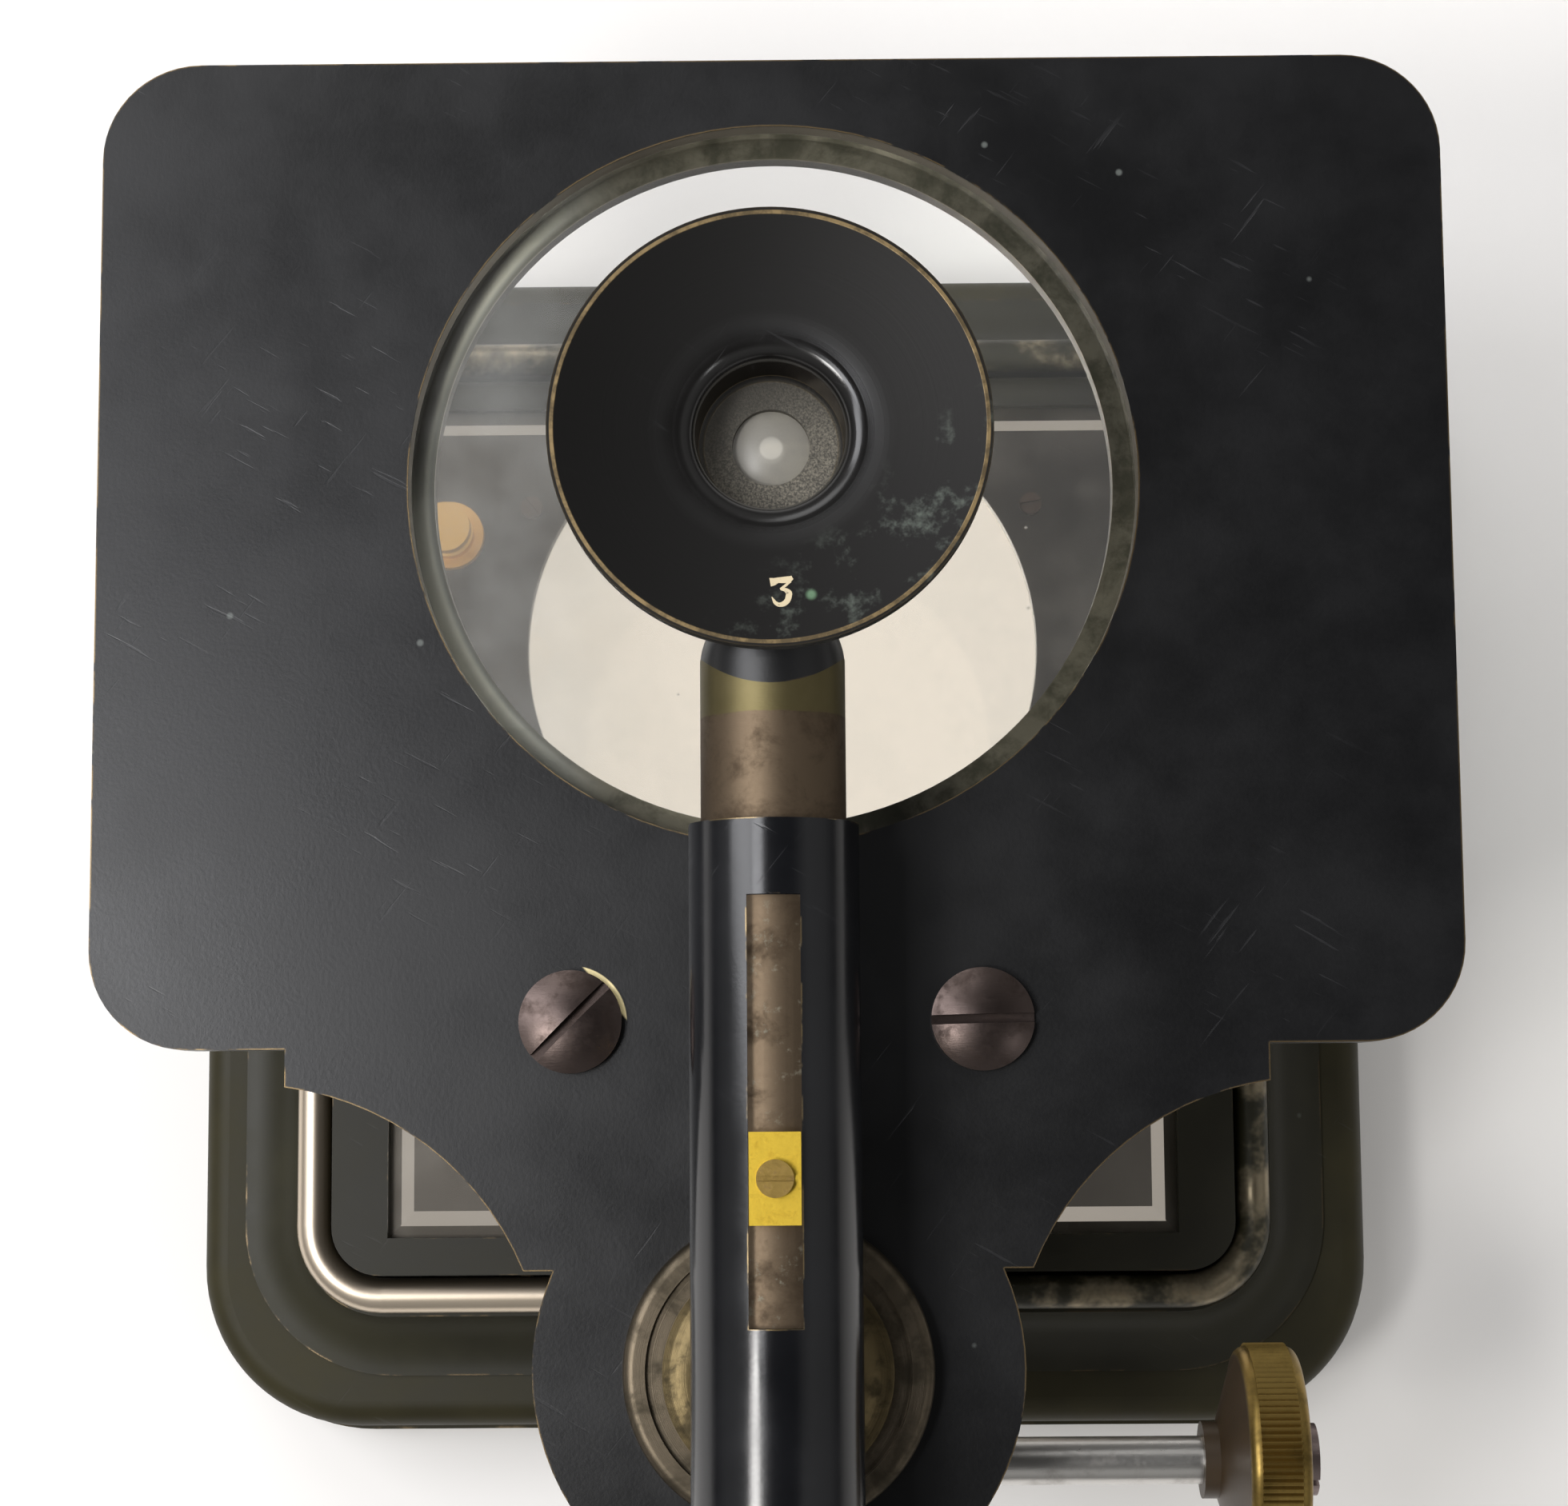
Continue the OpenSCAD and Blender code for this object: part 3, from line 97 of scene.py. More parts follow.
# Finishes
class Finish:
    """One material built in layers: colour, metalness and roughness, then relief."""

    def __init__(self, name, colour=(0.5, 0.5, 0.5), rough=0.5, metal=0.0, **sockets):
        self.made = bpy.data.materials.new(name)
        self.made.use_nodes = True
        self.tree = self.made.node_tree
        self.shader = self.tree.nodes["Principled BSDF"]
        self.output = self.tree.nodes["Material Output"]
        self.colour, self.rough, self.metal = colour, rough, metal
        for socket, value in sockets.items():
            self.shader.inputs[socket.replace("_", " ")].default_value = value
        self.where = self.node("ShaderNodeTexCoord").outputs["Object"]
        self.x, self.y, self.z = self.apart(self.where)

    def node(self, kind, inputs=None, **settings):
        """Adds a node with its settings, its inputs fed from values or other nodes."""
        made = self.tree.nodes.new(kind)
        for key, value in settings.items():
            setattr(made, key, value)
        for key, value in (inputs or {}).items():
            self.feed(made.inputs[key], value)
        return made

    def feed(self, socket, value):
        """Links a node's output to a socket, or sets the socket's own value."""
        if isinstance(value, bpy.types.NodeSocket):
            self.tree.links.new(value, socket)
        elif hasattr(value, "__len__") and socket.type == "RGBA":
            socket.default_value = (*value, 1)
        else:
            socket.default_value = value

    def done(self):
        """Joins the layers to the shader and gives the material."""
        for socket, value in (("Base Color", self.colour), ("Roughness", self.rough),
                              ("Metallic", self.metal)):
            self.feed(self.shader.inputs[socket], value)
        return self.made

    def layer(self, share, colour, metal=0.0, rough=0.5):
        """Lays another finish over the present one, by a share from 0 to 1."""
        self.colour = self.tint(share, self.colour, colour)
        self.metal = self.blend(share, self.metal, metal)
        self.rough = self.blend(share, self.rough, rough)
        return self

    def math(self, what, *values):
        """One sum on one or two values."""
        made = self.node("ShaderNodeMath", operation=what)
        for k, value in enumerate(values):
            self.feed(made.inputs[k], value)
        return made.outputs[0]

    def both(self, *shares):
        """The product of shares: where all of them hold."""
        made = shares[0]
        for share in shares[1:]:
            made = self.math("MULTIPLY", made, share)
        return made

    def spot(self, centre=(0, 0, 0), scale=(1, 1, 1), turn=(0, 0, 0)):
        """Object coordinates moved so that centre is the origin, then turned, then scaled."""
        made = self.where
        for setting, value, still in (("Location", [-c for c in centre], 0), ("Rotation", turn, 0),
                                      ("Scale", scale, 1)):
            if any(v != still for v in value):
                made = self.node("ShaderNodeMapping", {"Vector": made, setting: value}).outputs[0]
        return made

    def apart(self, vector):
        """The three parts of a vector."""
        return self.node("ShaderNodeSeparateXYZ", {"Vector": vector}).outputs

    def reach(self, centre, axis="Z"):
        """Distance from the Z or X axis through centre."""
        x, y, z = self.apart(self.spot(centre))
        a, b = {"Z": (x, y), "X": (y, z)}[axis]
        return self.math("SQRT", self.math("ADD", self.math("MULTIPLY", a, a), self.math("MULTIPLY", b, b)))

    def along(self, centre, way):
        """Distance from centre measured along a level direction."""
        x, y, _ = self.apart(self.spot(centre))
        return self.math("ADD", self.math("MULTIPLY", x, way[0]), self.math("MULTIPLY", y, way[1]))

    def noise(self, size, detail=3.0, rough=0.55, vector=None, warp=0.0):
        """Smooth noise from 0 to 1 whose largest blotches are about size metres."""
        made = self.node("ShaderNodeTexNoise", {
            "Vector": self.where if vector is None else vector, "Scale": 1 / size,
            "Detail": detail, "Roughness": rough, "Distortion": warp})
        return made.outputs[0]

    def span(self, value, low, high):
        """0 below low, 1 above high, and a smooth rise between; low may be the larger."""
        made = self.node("ShaderNodeMapRange", {"Value": value, "From Min": low, "From Max": high},
                         interpolation_type="SMOOTHSTEP")
        return made.outputs[0]

    def band(self, value, low, high, soft):
        """1 between low and high, falling to 0 over soft on either side."""
        return self.both(self.span(value, low - soft, low), self.span(value, high + soft, high))

    def tint(self, share, first, second):
        """A colour between two, by a share."""
        made = self.node("ShaderNodeMix", {MIX_SHARE: share, MIX_COLOURS[0]: first, MIX_COLOURS[1]: second},
                         data_type="RGBA")
        return made.outputs[MIX_COLOUR_OUT]

    def blend(self, share, first, second):
        """A number between two, by a share."""
        made = self.node("ShaderNodeMix", {MIX_SHARE: share, MIX_NUMBERS[0]: first, MIX_NUMBERS[1]: second},
                         data_type="FLOAT")
        return made.outputs[0]

    def edges(self, reach, low=0.015, high=0.16):
        """Near 1 within reach of the piece's edges: there a rounded normal leaves the true one."""
        soft = self.node("ShaderNodeBevel", {"Radius": reach}, samples=6)
        true = self.node("ShaderNodeNewGeometry").outputs["Normal"]
        dot = self.node("ShaderNodeVectorMath", {0: soft.outputs[0], 1: true}, operation="DOT_PRODUCT")
        return self.span(self.math("SUBTRACT", 1.0, dot.outputs["Value"]), low, high)

    def rings(self, radius, pitch):
        """Turning marks: noise of a radius, about one mark a pitch."""
        marks = self.node("ShaderNodeTexNoise", {"W": self.math("MULTIPLY", radius, 1 / pitch),
                                                 "Scale": 1.0, "Detail": 3.0, "Roughness": 0.7},
                          noise_dimensions="1D")
        return marks.outputs[0]

    def scratches(self, size, turn, thin=14.0, cut=0.66, crest=0.05):
        """Hairline scratches: noise stretched along one direction, of which only crests show."""
        stretched = self.spot(scale=(1, thin, 1), turn=(0, 0, turn))
        lines = self.noise(size, detail=2.0, rough=0.5, vector=stretched, warp=0.15)
        return self.span(lines, cut, cut + crest)

    def specks(self, size, share, width=0.12, sharp=0.001):
        """Small round specks, on the given share of their cells."""
        made = self.node("ShaderNodeTexVoronoi", {"Vector": self.where, "Scale": 1 / size})
        keep = self.span(self.apart(made.outputs["Color"])[0], 1 - share, 1 - share + sharp)
        return self.both(self.span(made.outputs["Distance"], width * 1.4, width * 0.5), keep)

    def relief(self, height, depth):
        """Raises the surface by height, of which 1 stands for depth metres."""
        made = self.node("ShaderNodeBump", {"Height": height, "Distance": depth, "Strength": 1.0})
        self.feed(self.shader.inputs["Normal"], made.outputs[0])
        return self


BRASS = (0.42, 0.28, 0.085)
BRONZE = (0.13, 0.095, 0.055)
STEEL = (0.26, 0.235, 0.23)
DARK_STEEL = (0.09, 0.07, 0.065)
LACQUER = (0.0026, 0.0027, 0.0033)
BASE_BLACK = (0.023, 0.0195, 0.0060)
WORN_BROWN = (0.30, 0.21, 0.10)
DUST = (0.26, 0.29, 0.27)
SCRATCH_GREY = (0.16, 0.16, 0.17)
GRAIN_DEPTH = 0.012 * MM


def lacquer(name, colour=LACQUER, rough=0.42, wear=0.35 * MM, worn=0.5, dust=1.0,
            under=BRONZE, grain=0.6, gloss=0.5):
    """Old black lacquer on brass: cloudy gloss, hairlines, dust, and metal bare on the edges.
    Wear is how far in the edges are rubbed, worn is how much of them, and under is their metal."""
    f = Finish(name, colour, rough, Specular_IOR_Level=gloss)
    cloud = f.noise(14 * MM, detail=4.0, rough=0.6)
    fine = f.noise(0.35 * MM, rough=0.6)
    lines = f.math("MAXIMUM", f.scratches(6 * MM, 0.5), f.scratches(8 * MM, -0.9, thin=18.0, cut=0.68))
    lines = f.both(lines, f.span(f.noise(18 * MM, detail=2.0), 0.48, 0.66))
    specks = f.math("MULTIPLY", f.specks(2.2 * MM, 0.016), dust)
    f.colour = f.tint(f.span(cloud, 0.3, 0.75), [c * 0.8 for c in colour], [c * 1.3 for c in colour])
    f.rough = f.math("ADD", f.blend(f.span(cloud, 0.25, 0.75), rough - 0.04, rough + 0.06),
                     f.math("MULTIPLY", fine, 0.05))
    f.layer(f.math("MULTIPLY", lines, 0.07), SCRATCH_GREY, rough=rough)
    f.layer(f.math("MULTIPLY", specks, 0.30), DUST, rough=0.8)
    start = 0.62 - 0.3 * worn
    patch = f.span(f.noise(5 * MM, detail=4.0, rough=0.65), start, start + 0.12)
    f.layer(f.both(f.edges(wear), patch), under, metal=1.0, rough=0.34)
    f.relief(f.math("ADD", f.math("MULTIPLY", fine, grain), f.math("MULTIPLY", lines, -0.5)), GRAIN_DEPTH)
    return f


def metal(name, bright=BRASS, dark=BRONZE, tarnish=0.5, rough=0.36, size=5 * MM, axis=None,
          centre=(0, 0, 0), pitch=0.12 * MM, depth=0.008 * MM, rub=0.3 * MM):
    """Brass or steel with tarnish in patches, tool marks round an axis, and rubbed edges."""
    f = Finish(name, bright, rough, metal=1.0)
    patches = f.noise(size, detail=5.0, rough=0.62, warp=0.4)
    fine = f.noise(0.4 * MM, rough=0.6)
    stain = f.span(f.math("ADD", patches, f.math("MULTIPLY", fine, 0.12)),
                   0.80 - 0.6 * tarnish, 1.02 - 0.5 * tarnish)
    rubbed = f.both(f.edges(rub), f.span(f.noise(2.5 * MM), 0.3, 0.6))
    stain = f.both(stain, f.math("SUBTRACT", 1.0, f.math("MULTIPLY", rubbed, 0.75)))
    f.colour = f.tint(stain, bright, dark)
    f.rough = f.math("ADD", f.blend(stain, rough, rough + 0.14), f.math("MULTIPLY", fine, 0.08))
    if axis:
        marks = f.rings(f.reach(centre, axis), pitch)
    else:
        marks = f.noise(1.2 * MM, detail=4.0, rough=0.7, vector=f.spot(scale=(1, 9, 1)))
    return f.relief(f.math("ADD", marks, f.math("MULTIPLY", fine, 0.5)), depth)


def clear_glass(name, colour=(0.99, 0.988, 0.975), rough=0.01):
    """Old glass with a little dust; to Shadow rays it is a clear, faintly green pane."""
    f = Finish(name, colour, rough, IOR=1.5, Transmission_Weight=1.0)
    dust = f.math("MULTIPLY", f.span(f.noise(7 * MM, detail=5.0, rough=0.7), 0.5, 0.9), 0.02)
    specks = f.math("MULTIPLY", f.specks(1.6 * MM, 0.04), 0.2)
    f.rough = f.math("ADD", rough, f.math("ADD", dust, specks))
    path = f.node("ShaderNodeLightPath")
    window = f.node("ShaderNodeBsdfTransparent", {"Color": (0.93, 0.96, 0.94)})
    mixed = f.node("ShaderNodeMixShader", {0: path.outputs["Is Shadow Ray"], 1: f.shader.outputs[0],
                                           2: window.outputs[0]})
    f.feed(f.output.inputs["Surface"], mixed.outputs[0])
    return f


def stage_pane(name):
    """The stage's round glass, with a thin grey bloom towards its left."""
    f = clear_glass(name)
    bloom = f.math("MULTIPLY", f.span(f.noise(8 * MM, detail=4.0, rough=0.6), 0.25, 0.75), 0.05)
    share = f.both(f.math("ADD", 0.012, bloom), f.span(f.x, -6 * MM, -24 * MM))
    f.layer(share, (0.62, 0.64, 0.60), rough=f.rough)
    f.feed(f.shader.inputs["Transmission Weight"], f.math("SUBTRACT", 1.0, share))
    return f


def dusty_lens(name):
    """The small upper lens: hazed all over with fine dust, a little thinner at its middle, where a
    pale disc is painted for the light that shows up through the stop.
    """
    f = clear_glass(name, (0.80, 0.77, 0.70), rough=0.12)
    fine = f.noise(0.14 * MM, rough=0.7)
    radius = f.reach(LENS)
    dust = f.tint(fine, (0.06, 0.053, 0.043), (0.19, 0.175, 0.145))
    # painted light: a pale disc in the lens's middle for the light that shows up through the stop
    middle = f.span(radius, 1.0 * MM, 0.75 * MM)
    share = f.math("SUBTRACT", 0.62, f.math("MULTIPLY", middle, 0.1))
    f.layer(share, f.tint(middle, dust, (0.42, 0.405, 0.37)))
    f.feed(f.shader.inputs["Transmission Weight"], f.math("SUBTRACT", 1.0, share))
    return f


def old_mirror(name):
    """Silvered glass under a thin film of dust, thicker on its left, with soft grey-green foxing."""
    polish = 0.02
    f = Finish(name, (0.88, 0.80, 0.70), polish, metal=1.0)
    cloud = f.span(f.noise(9 * MM, detail=4.0, rough=0.6), 0.38, 0.68)
    left = f.span(f.x, -4 * MM, -26 * MM)
    film = f.tint(cloud, (0.14, 0.155, 0.14), (0.36, 0.38, 0.35))
    share = f.math("ADD", 0.02, f.math("MULTIPLY", cloud, 0.05))
    f.layer(f.math("ADD", share, f.math("MULTIPLY", left, 0.10)), film, rough=polish)
    foxing = f.math("MULTIPLY", f.specks(2.4 * MM, 0.06, width=0.08), 0.3)
    return f.layer(foxing, (0.10, 0.11, 0.10), rough=polish)


def stage_lacquer(name):
    """The stage's satin lacquer, rubbed to brass on its edges and beside one screw's head, and
    thinned to grey on the hole's wall. The wall's left side is painted paler: painted light where
    it lies in shade. The brass beside the screw is painted pale and matt, partly wear and partly
    a painted glint that stays bright in the screw's shadow."""
    f = lacquer(name, rough=0.30, wear=0.26 * MM, worn=0.75, under=WORN_BROWN)
    wall = f.both(f.span(f.reach(LENS), HOLE_R + 0.25 * MM, HOLE_R + 0.15 * MM),
                  f.span(f.z, STAGE_TOP - 0.1 * MM, STAGE_TOP - 0.3 * MM))
    # painted light: the wall's left side is paler grey, where it lies in shade
    left = f.span(f.x, -10 * MM, -26 * MM)
    f.layer(wall, f.tint(left, (0.17, 0.15, 0.12), (0.42, 0.39, 0.34)), metal=0.3, rough=0.45)
    # worn brass beside the left screw, painted pale and matt: partly wear, partly a painted glint in the
    # screw's shadow
    beside = f.band(f.reach(LEFT_SCREW), HEAD_R - 0.3 * MM, HEAD_R + 0.32 * MM, 0.1 * MM)
    side = f.along(LEFT_SCREW, (0.77, 0.64))
    worn_brass_and_glint = f.both(beside, f.span(side, HEAD_R - 0.65 * MM, HEAD_R - 0.45 * MM))
    return f.layer(worn_brass_and_glint, (0.95, 0.80, 0.42), rough=0.35)


def cup_lacquer(name):
    """The lens cup: a dark satin dish with bloom on one side and one green spot, a rim worn to
    gold, and a grainy bare floor about the lens with painted light: its pale grains show only on
    its side towards the right and the pillar."""
    f = lacquer(name, (0.0062, 0.0058, 0.0056), rough=0.16, wear=0.32 * MM, worn=1.3, dust=0.6,
                under=(0.30, 0.21, 0.09), grain=0.3)
    radius = f.reach(LENS)
    dish = f.both(f.span(radius, RECESS_R + 1.1 * MM, RECESS_R + 3.8 * MM),
                  f.span(f.z, CUP_TOP - 8.5 * MM, CUP_TOP - 7.5 * MM))
    f.layer(f.math("MULTIPLY", dish, 0.9), (0.0125, 0.012, 0.0115), metal=0.85, rough=0.56)
    grain = f.noise(0.16 * MM, rough=0.7)
    # painted light: the floor's pale grains show only on its side towards the right and the pillar
    side = f.span(f.along(LENS, (0.6, -0.8)), -7 * MM, 4 * MM)
    bare = f.tint(f.both(f.span(grain, 0.35, 0.7), side), (0.05, 0.046, 0.038), (0.21, 0.19, 0.15))
    floor = f.both(f.span(radius, RECESS_R - 0.15 * MM, RECESS_R - 0.7 * MM),
                   f.span(f.z, CUP_TOP - 6.5 * MM, CUP_TOP - 7.1 * MM))
    f.layer(floor, bare, metal=0.35, rough=0.55)
    bloom = f.both(f.span(f.noise(2.6 * MM, detail=4.0, rough=0.7), 0.52, 0.75),
                   f.span(f.along(LENS, (0.66, -0.75)), 6 * MM, 12 * MM),
                   f.span(radius, RECESS_R + 2.3 * MM, RECESS_R + 4.3 * MM))
    f.layer(f.math("MULTIPLY", bloom, 0.32), (0.21, 0.25, 0.21), rough=0.7)
    green_spot = (3.0 * MM, 11.15 * MM, 0)
    green = f.span(f.reach(green_spot), 0.55 * MM, 0.15 * MM)
    f.layer(f.math("MULTIPLY", green, 0.6), (0.16, 0.30, 0.17), rough=0.6)
    rubs = f.span(f.noise(2.5 * MM, detail=5.0, rough=0.75), 0.38, 0.62)
    line = f.both(f.band(radius, CUP_R - 0.50 * MM, CUP_R - 0.28 * MM, 0.08 * MM),
                  f.span(f.z, CUP_TOP - 0.5 * MM, CUP_TOP - 0.3 * MM),
                  f.math("ADD", 0.35, f.math("MULTIPLY", rubs, 0.6)))
    f.layer(f.math("MULTIPLY", line, 0.8), (0.34, 0.24, 0.11), metal=0.5, rough=0.40)
    turned = f.math("MULTIPLY", f.rings(radius, 0.35 * MM), 0.5)
    return f.relief(f.math("ADD", turned, f.math("MULTIPLY", f.both(grain, floor), 3.0)), GRAIN_DEPTH)


def draw_bronze(name):
    """The draw tube's drawn bronze, brown where it slides in the arm and olive at its end."""
    f = metal(name, (0.140, 0.104, 0.070), (0.088, 0.064, 0.043), rough=0.50, size=3.5 * MM)
    edge = f.math("ADD", f.y, f.math("MULTIPLY", f.noise(1.5 * MM), 0.35 * MM))
    olive = f.span(edge, DRAW_END - 4.40 * MM, DRAW_END - 4.28 * MM)
    old, fresh = (0.11, 0.092, 0.042), (0.165, 0.138, 0.070)
    f.layer(olive, f.tint(f.noise(3 * MM, detail=4.0, rough=0.6), old, fresh), metal=1.0, rough=0.50)
    bloom = f.both(f.span(f.noise(1.1 * MM, detail=4.0, rough=0.7), 0.56, 0.70),
                   f.span(f.y, -8 * MM, -16 * MM))
    return f.layer(f.math("MULTIPLY", bloom, 0.35), (0.27, 0.27, 0.21), rough=0.7)


def knob_brass(name):
    """The focusing knob: brass rim gone golden brown, and a dark lacquered cone and hub."""
    f = metal(name, (0.27, 0.185, 0.056), (0.115, 0.077, 0.022), size=6 * MM, axis="X", centre=PINION)
    cone = f.both(f.span(f.x, KNOB_BACK + 3.35 * MM, KNOB_BACK + 3.05 * MM),
                  f.span(f.reach(PINION, "X"), KNOB_R - 0.5 * MM, KNOB_R - 1.1 * MM))
    return f.layer(cone, f.tint(f.noise(3 * MM), (0.022, 0.013, 0.005), (0.05, 0.03, 0.013)),
                   metal=0.1, rough=0.42)


def ring_bronze(name):
    """The glass ring: grey bronze on the ledge that shows through the glass, dark underneath, and
    painted light towards its left: paler grey there, palest on the ledge's outer edge, which lies in
    the stage's shade."""
    f = metal(name, (0.20, 0.175, 0.135), (0.105, 0.095, 0.07), tarnish=0.6, rough=0.48, size=4 * MM,
              axis="Z", centre=LENS)
    # painted light: the ledge's left is painted paler, palest at its outer edge in the stage's shade
    painted_light_edge = f.span(f.reach(LENS), HOLE_R - 1.7 * MM, HOLE_R - 1.1 * MM)
    left = f.span(f.x, -12 * MM, -25 * MM)
    f.layer(left, f.tint(painted_light_edge, (0.32, 0.30, 0.26), (0.88, 0.84, 0.76)))
    return f.layer(f.span(f.z, RING_TOP - 0.2 * MM, RING_TOP - 0.4 * MM), LACQUER, rough=0.45)


def worn_moulding(name):
    """The moulding's lacquer, rubbed to the metal along its crest, most at the corner on the
    pillar's left, where the bare metal is also painted paler: a painted highlight."""
    f = lacquer(name, (0.018, 0.0165, 0.0075), rough=0.45, wear=0.4 * MM, dust=0.4, grain=0.2, gloss=0.3)
    corner = f.span(f.along((0, 0, 0), (-0.7, -0.7)), 10 * MM, 52 * MM)
    patch = f.span(f.math("ADD", f.noise(6 * MM, detail=4.0, rough=0.65), f.math("MULTIPLY", corner, 0.45)),
                   0.46, 0.72)
    crest = f.span(f.z, f.blend(corner, MOULDING_TOP - 2.0 * MM, MOULDING_TOP - 4.5 * MM),
                   f.blend(corner, MOULDING_TOP - 0.2 * MM, MOULDING_TOP - 2.5 * MM))
    # the crest's bare metal, painted paler at the corner on the pillar's left as a painted highlight
    worn = f.tint(corner, (0.30, 0.25, 0.17), (0.62, 0.53, 0.42))
    return f.layer(f.both(crest, patch), worn, metal=1.0, rough=0.36)


STAND_FINISHES = {
    "base": lacquer("base_lacquer", BASE_BLACK, rough=0.5, wear=0.6 * MM, worn=0.35, dust=0.4, grain=0.2,
                    gloss=0.25),
    "base_weight": metal("lead_weight", (0.20, 0.20, 0.21), (0.09, 0.09, 0.10), tarnish=0.6, rough=0.5),
    "base_plate": lacquer("base_plate_lacquer", (0.012, 0.012, 0.011), rough=0.5),
    "plate_screws": metal("plate_screw_steel", STEEL, DARK_STEEL, rough=0.35),
    "mirror_moulding": worn_moulding("moulding_lacquer"),
    "mirror_pivots": metal("pivot_brass"),
    "mirror_frame": lacquer("mirror_frame_lacquer", (0.014, 0.0125, 0.006), rough=0.45, wear=0.3 * MM,
                            worn=0.2, dust=0.3, grain=0.2, gloss=0.3),
    "mirror_glass": old_mirror("old_silvering"),
    "mirror_backing": lacquer("backing_card", (0.02, 0.016, 0.012), rough=0.8),
    "mirror_button": metal("button_brass"),
    "pillar": lacquer("pillar_lacquer"),
    "pillar_flange": lacquer("flange_lacquer"),
    "pillar_collar": metal("collar_bronze", (0.115, 0.094, 0.067), (0.062, 0.052, 0.037), tarnish=0.55,
                           rough=0.38, size=3 * MM, axis="Z", centre=PILLAR, pitch=0.10 * MM,
                           depth=0.010 * MM),
    "stage_bracket": lacquer("bracket_lacquer"),
    "stage_plate": stage_lacquer("stage_lacquer"),
    "stage_screws": metal("stage_screw_steel", (0.086, 0.066, 0.060), (0.055, 0.041, 0.036), rough=0.29,
                          size=1.8 * MM),
    "glass_ring": ring_bronze("glass_ring_bronze"),
    "ring_screws": metal("ring_screw_steel", DARK_STEEL, (0.04, 0.035, 0.03)),
    "stage_glass": stage_pane("stage_glass"),
    "stage_stud": metal("stud_brass", (0.95, 0.62, 0.17), (0.70, 0.42, 0.10), tarnish=0.3, rough=0.5),
}
FOCUS_FINISHES = {
    "pinion_housing": lacquer("housing_lacquer"),
    "housing_cover": lacquer("housing_cover_lacquer"),
    "cover_screws": metal("cover_screw_steel", STEEL, DARK_STEEL),
    "shaft_bushes": metal("bush_brass", tarnish=0.4, rough=0.3, size=4 * MM, axis="X", centre=PINION),
    "focus_rod": metal("rod_brass", (0.50, 0.36, 0.15), (0.20, 0.14, 0.07), tarnish=0.4, rough=0.22,
                       size=6 * MM, axis="Z", centre=PILLAR),
    "focus_rack": metal("rack_brass", (0.50, 0.36, 0.14), BRONZE, tarnish=0.4),
    "rack_screws": metal("rack_screw_steel", STEEL, DARK_STEEL),
    "pinion_shaft": metal("shaft_steel", (0.60, 0.585, 0.56), (0.36, 0.34, 0.32), tarnish=0.4, rough=0.25),
    "pinion": metal("pinion_steel", (0.36, 0.34, 0.33), (0.16, 0.13, 0.12), tarnish=0.4, rough=0.3),
    "focus_knob": knob_brass("knob_brass"),
    "knob_screw": metal("knob_screw_steel", (0.30, 0.24, 0.23), (0.10, 0.07, 0.07)),
}
ARM_FINISHES = {
    "arm_boss": metal("boss_bronze", (0.115, 0.088, 0.045), (0.050, 0.040, 0.023), size=2 * MM, axis="Z",
                      centre=PILLAR, pitch=0.10 * MM, depth=0.012 * MM),
    "arm_tube": lacquer("arm_lacquer", (0.0045, 0.0048, 0.006), rough=0.15, wear=0.22 * MM, worn=0.45,
                        dust=0.8, under=(0.30, 0.22, 0.11), grain=0.25),
    "arm_end_cap": lacquer("cap_lacquer", rough=0.3),
    "draw_tube": draw_bronze("draw_tube_bronze"),
    "guide_block": metal("block_brass", (0.72, 0.50, 0.06), (0.42, 0.27, 0.03), tarnish=0.45,
                         size=1.4 * MM),
    "guide_screw": metal("guide_screw_brass", (0.40, 0.27, 0.08), (0.20, 0.13, 0.05), tarnish=0.4,
                         rough=0.30, size=0.8 * MM),
    "tube_nose": lacquer("nose_lacquer", rough=0.34, wear=0.2 * MM, worn=0.3),
    "lens_ring": lacquer("ring_lacquer", rough=0.34),
}
DOUBLET_FINISHES = {
    "doublet_cup": cup_lacquer("cup_lacquer"),
    "doublet_barrel": lacquer("barrel_lacquer"),
    "upper_lens": dusty_lens("upper_lens_glass"),
    "upper_cell": metal("upper_cell_bronze", (0.16, 0.14, 0.11), (0.06, 0.05, 0.045)),
    "diaphragm": metal("diaphragm_bronze", (0.34, 0.30, 0.23), (0.15, 0.13, 0.10), rough=0.6,
                       size=0.5 * MM),
    "lower_lens": clear_glass("lower_lens_glass"),
    "lens_keeper": metal("keeper_brass"),
}
for finishes in (STAND_FINISHES, FOCUS_FINISHES, ARM_FINISHES, DOUBLET_FINISHES):
    for node, finish in finishes.items():
        mesh = NODES[node].data
        mesh.materials.clear()
        mesh.materials.append(finish.done())


# Power mark: the points of its strokes, each an x, a y and half the stroke's width, in millimetres
BAR = [(-0.07, 12.15, 0.34), (0.22, 12.20, 0.29), (0.50, 12.30, 0.22), (0.91, 12.32, 0.245),
       (1.32, 12.37, 0.245), (1.60, 12.51, 0.15)]
SLANT = [(1.46, 12.22, 0.095), (1.10, 11.91, 0.10), (0.70, 11.58, 0.095)]
BOWL = [(0.70, 11.58, 0.05), (1.04, 11.54, 0.153), (1.32, 11.32, 0.22), (1.32, 11.06, 0.23),
        (1.21, 10.70, 0.22), (0.94, 10.45, 0.20), (0.59, 10.38, 0.163), (0.32, 10.53, 0.136),
        (0.18, 10.75, 0.085), (0.05, 11.00, 0.027)]
STROKES = ((BAR, 0.020 * MM), (SLANT, 0.014 * MM), (BOWL, 0.017 * MM))
STROKE_SUNK = 0.06 * MM


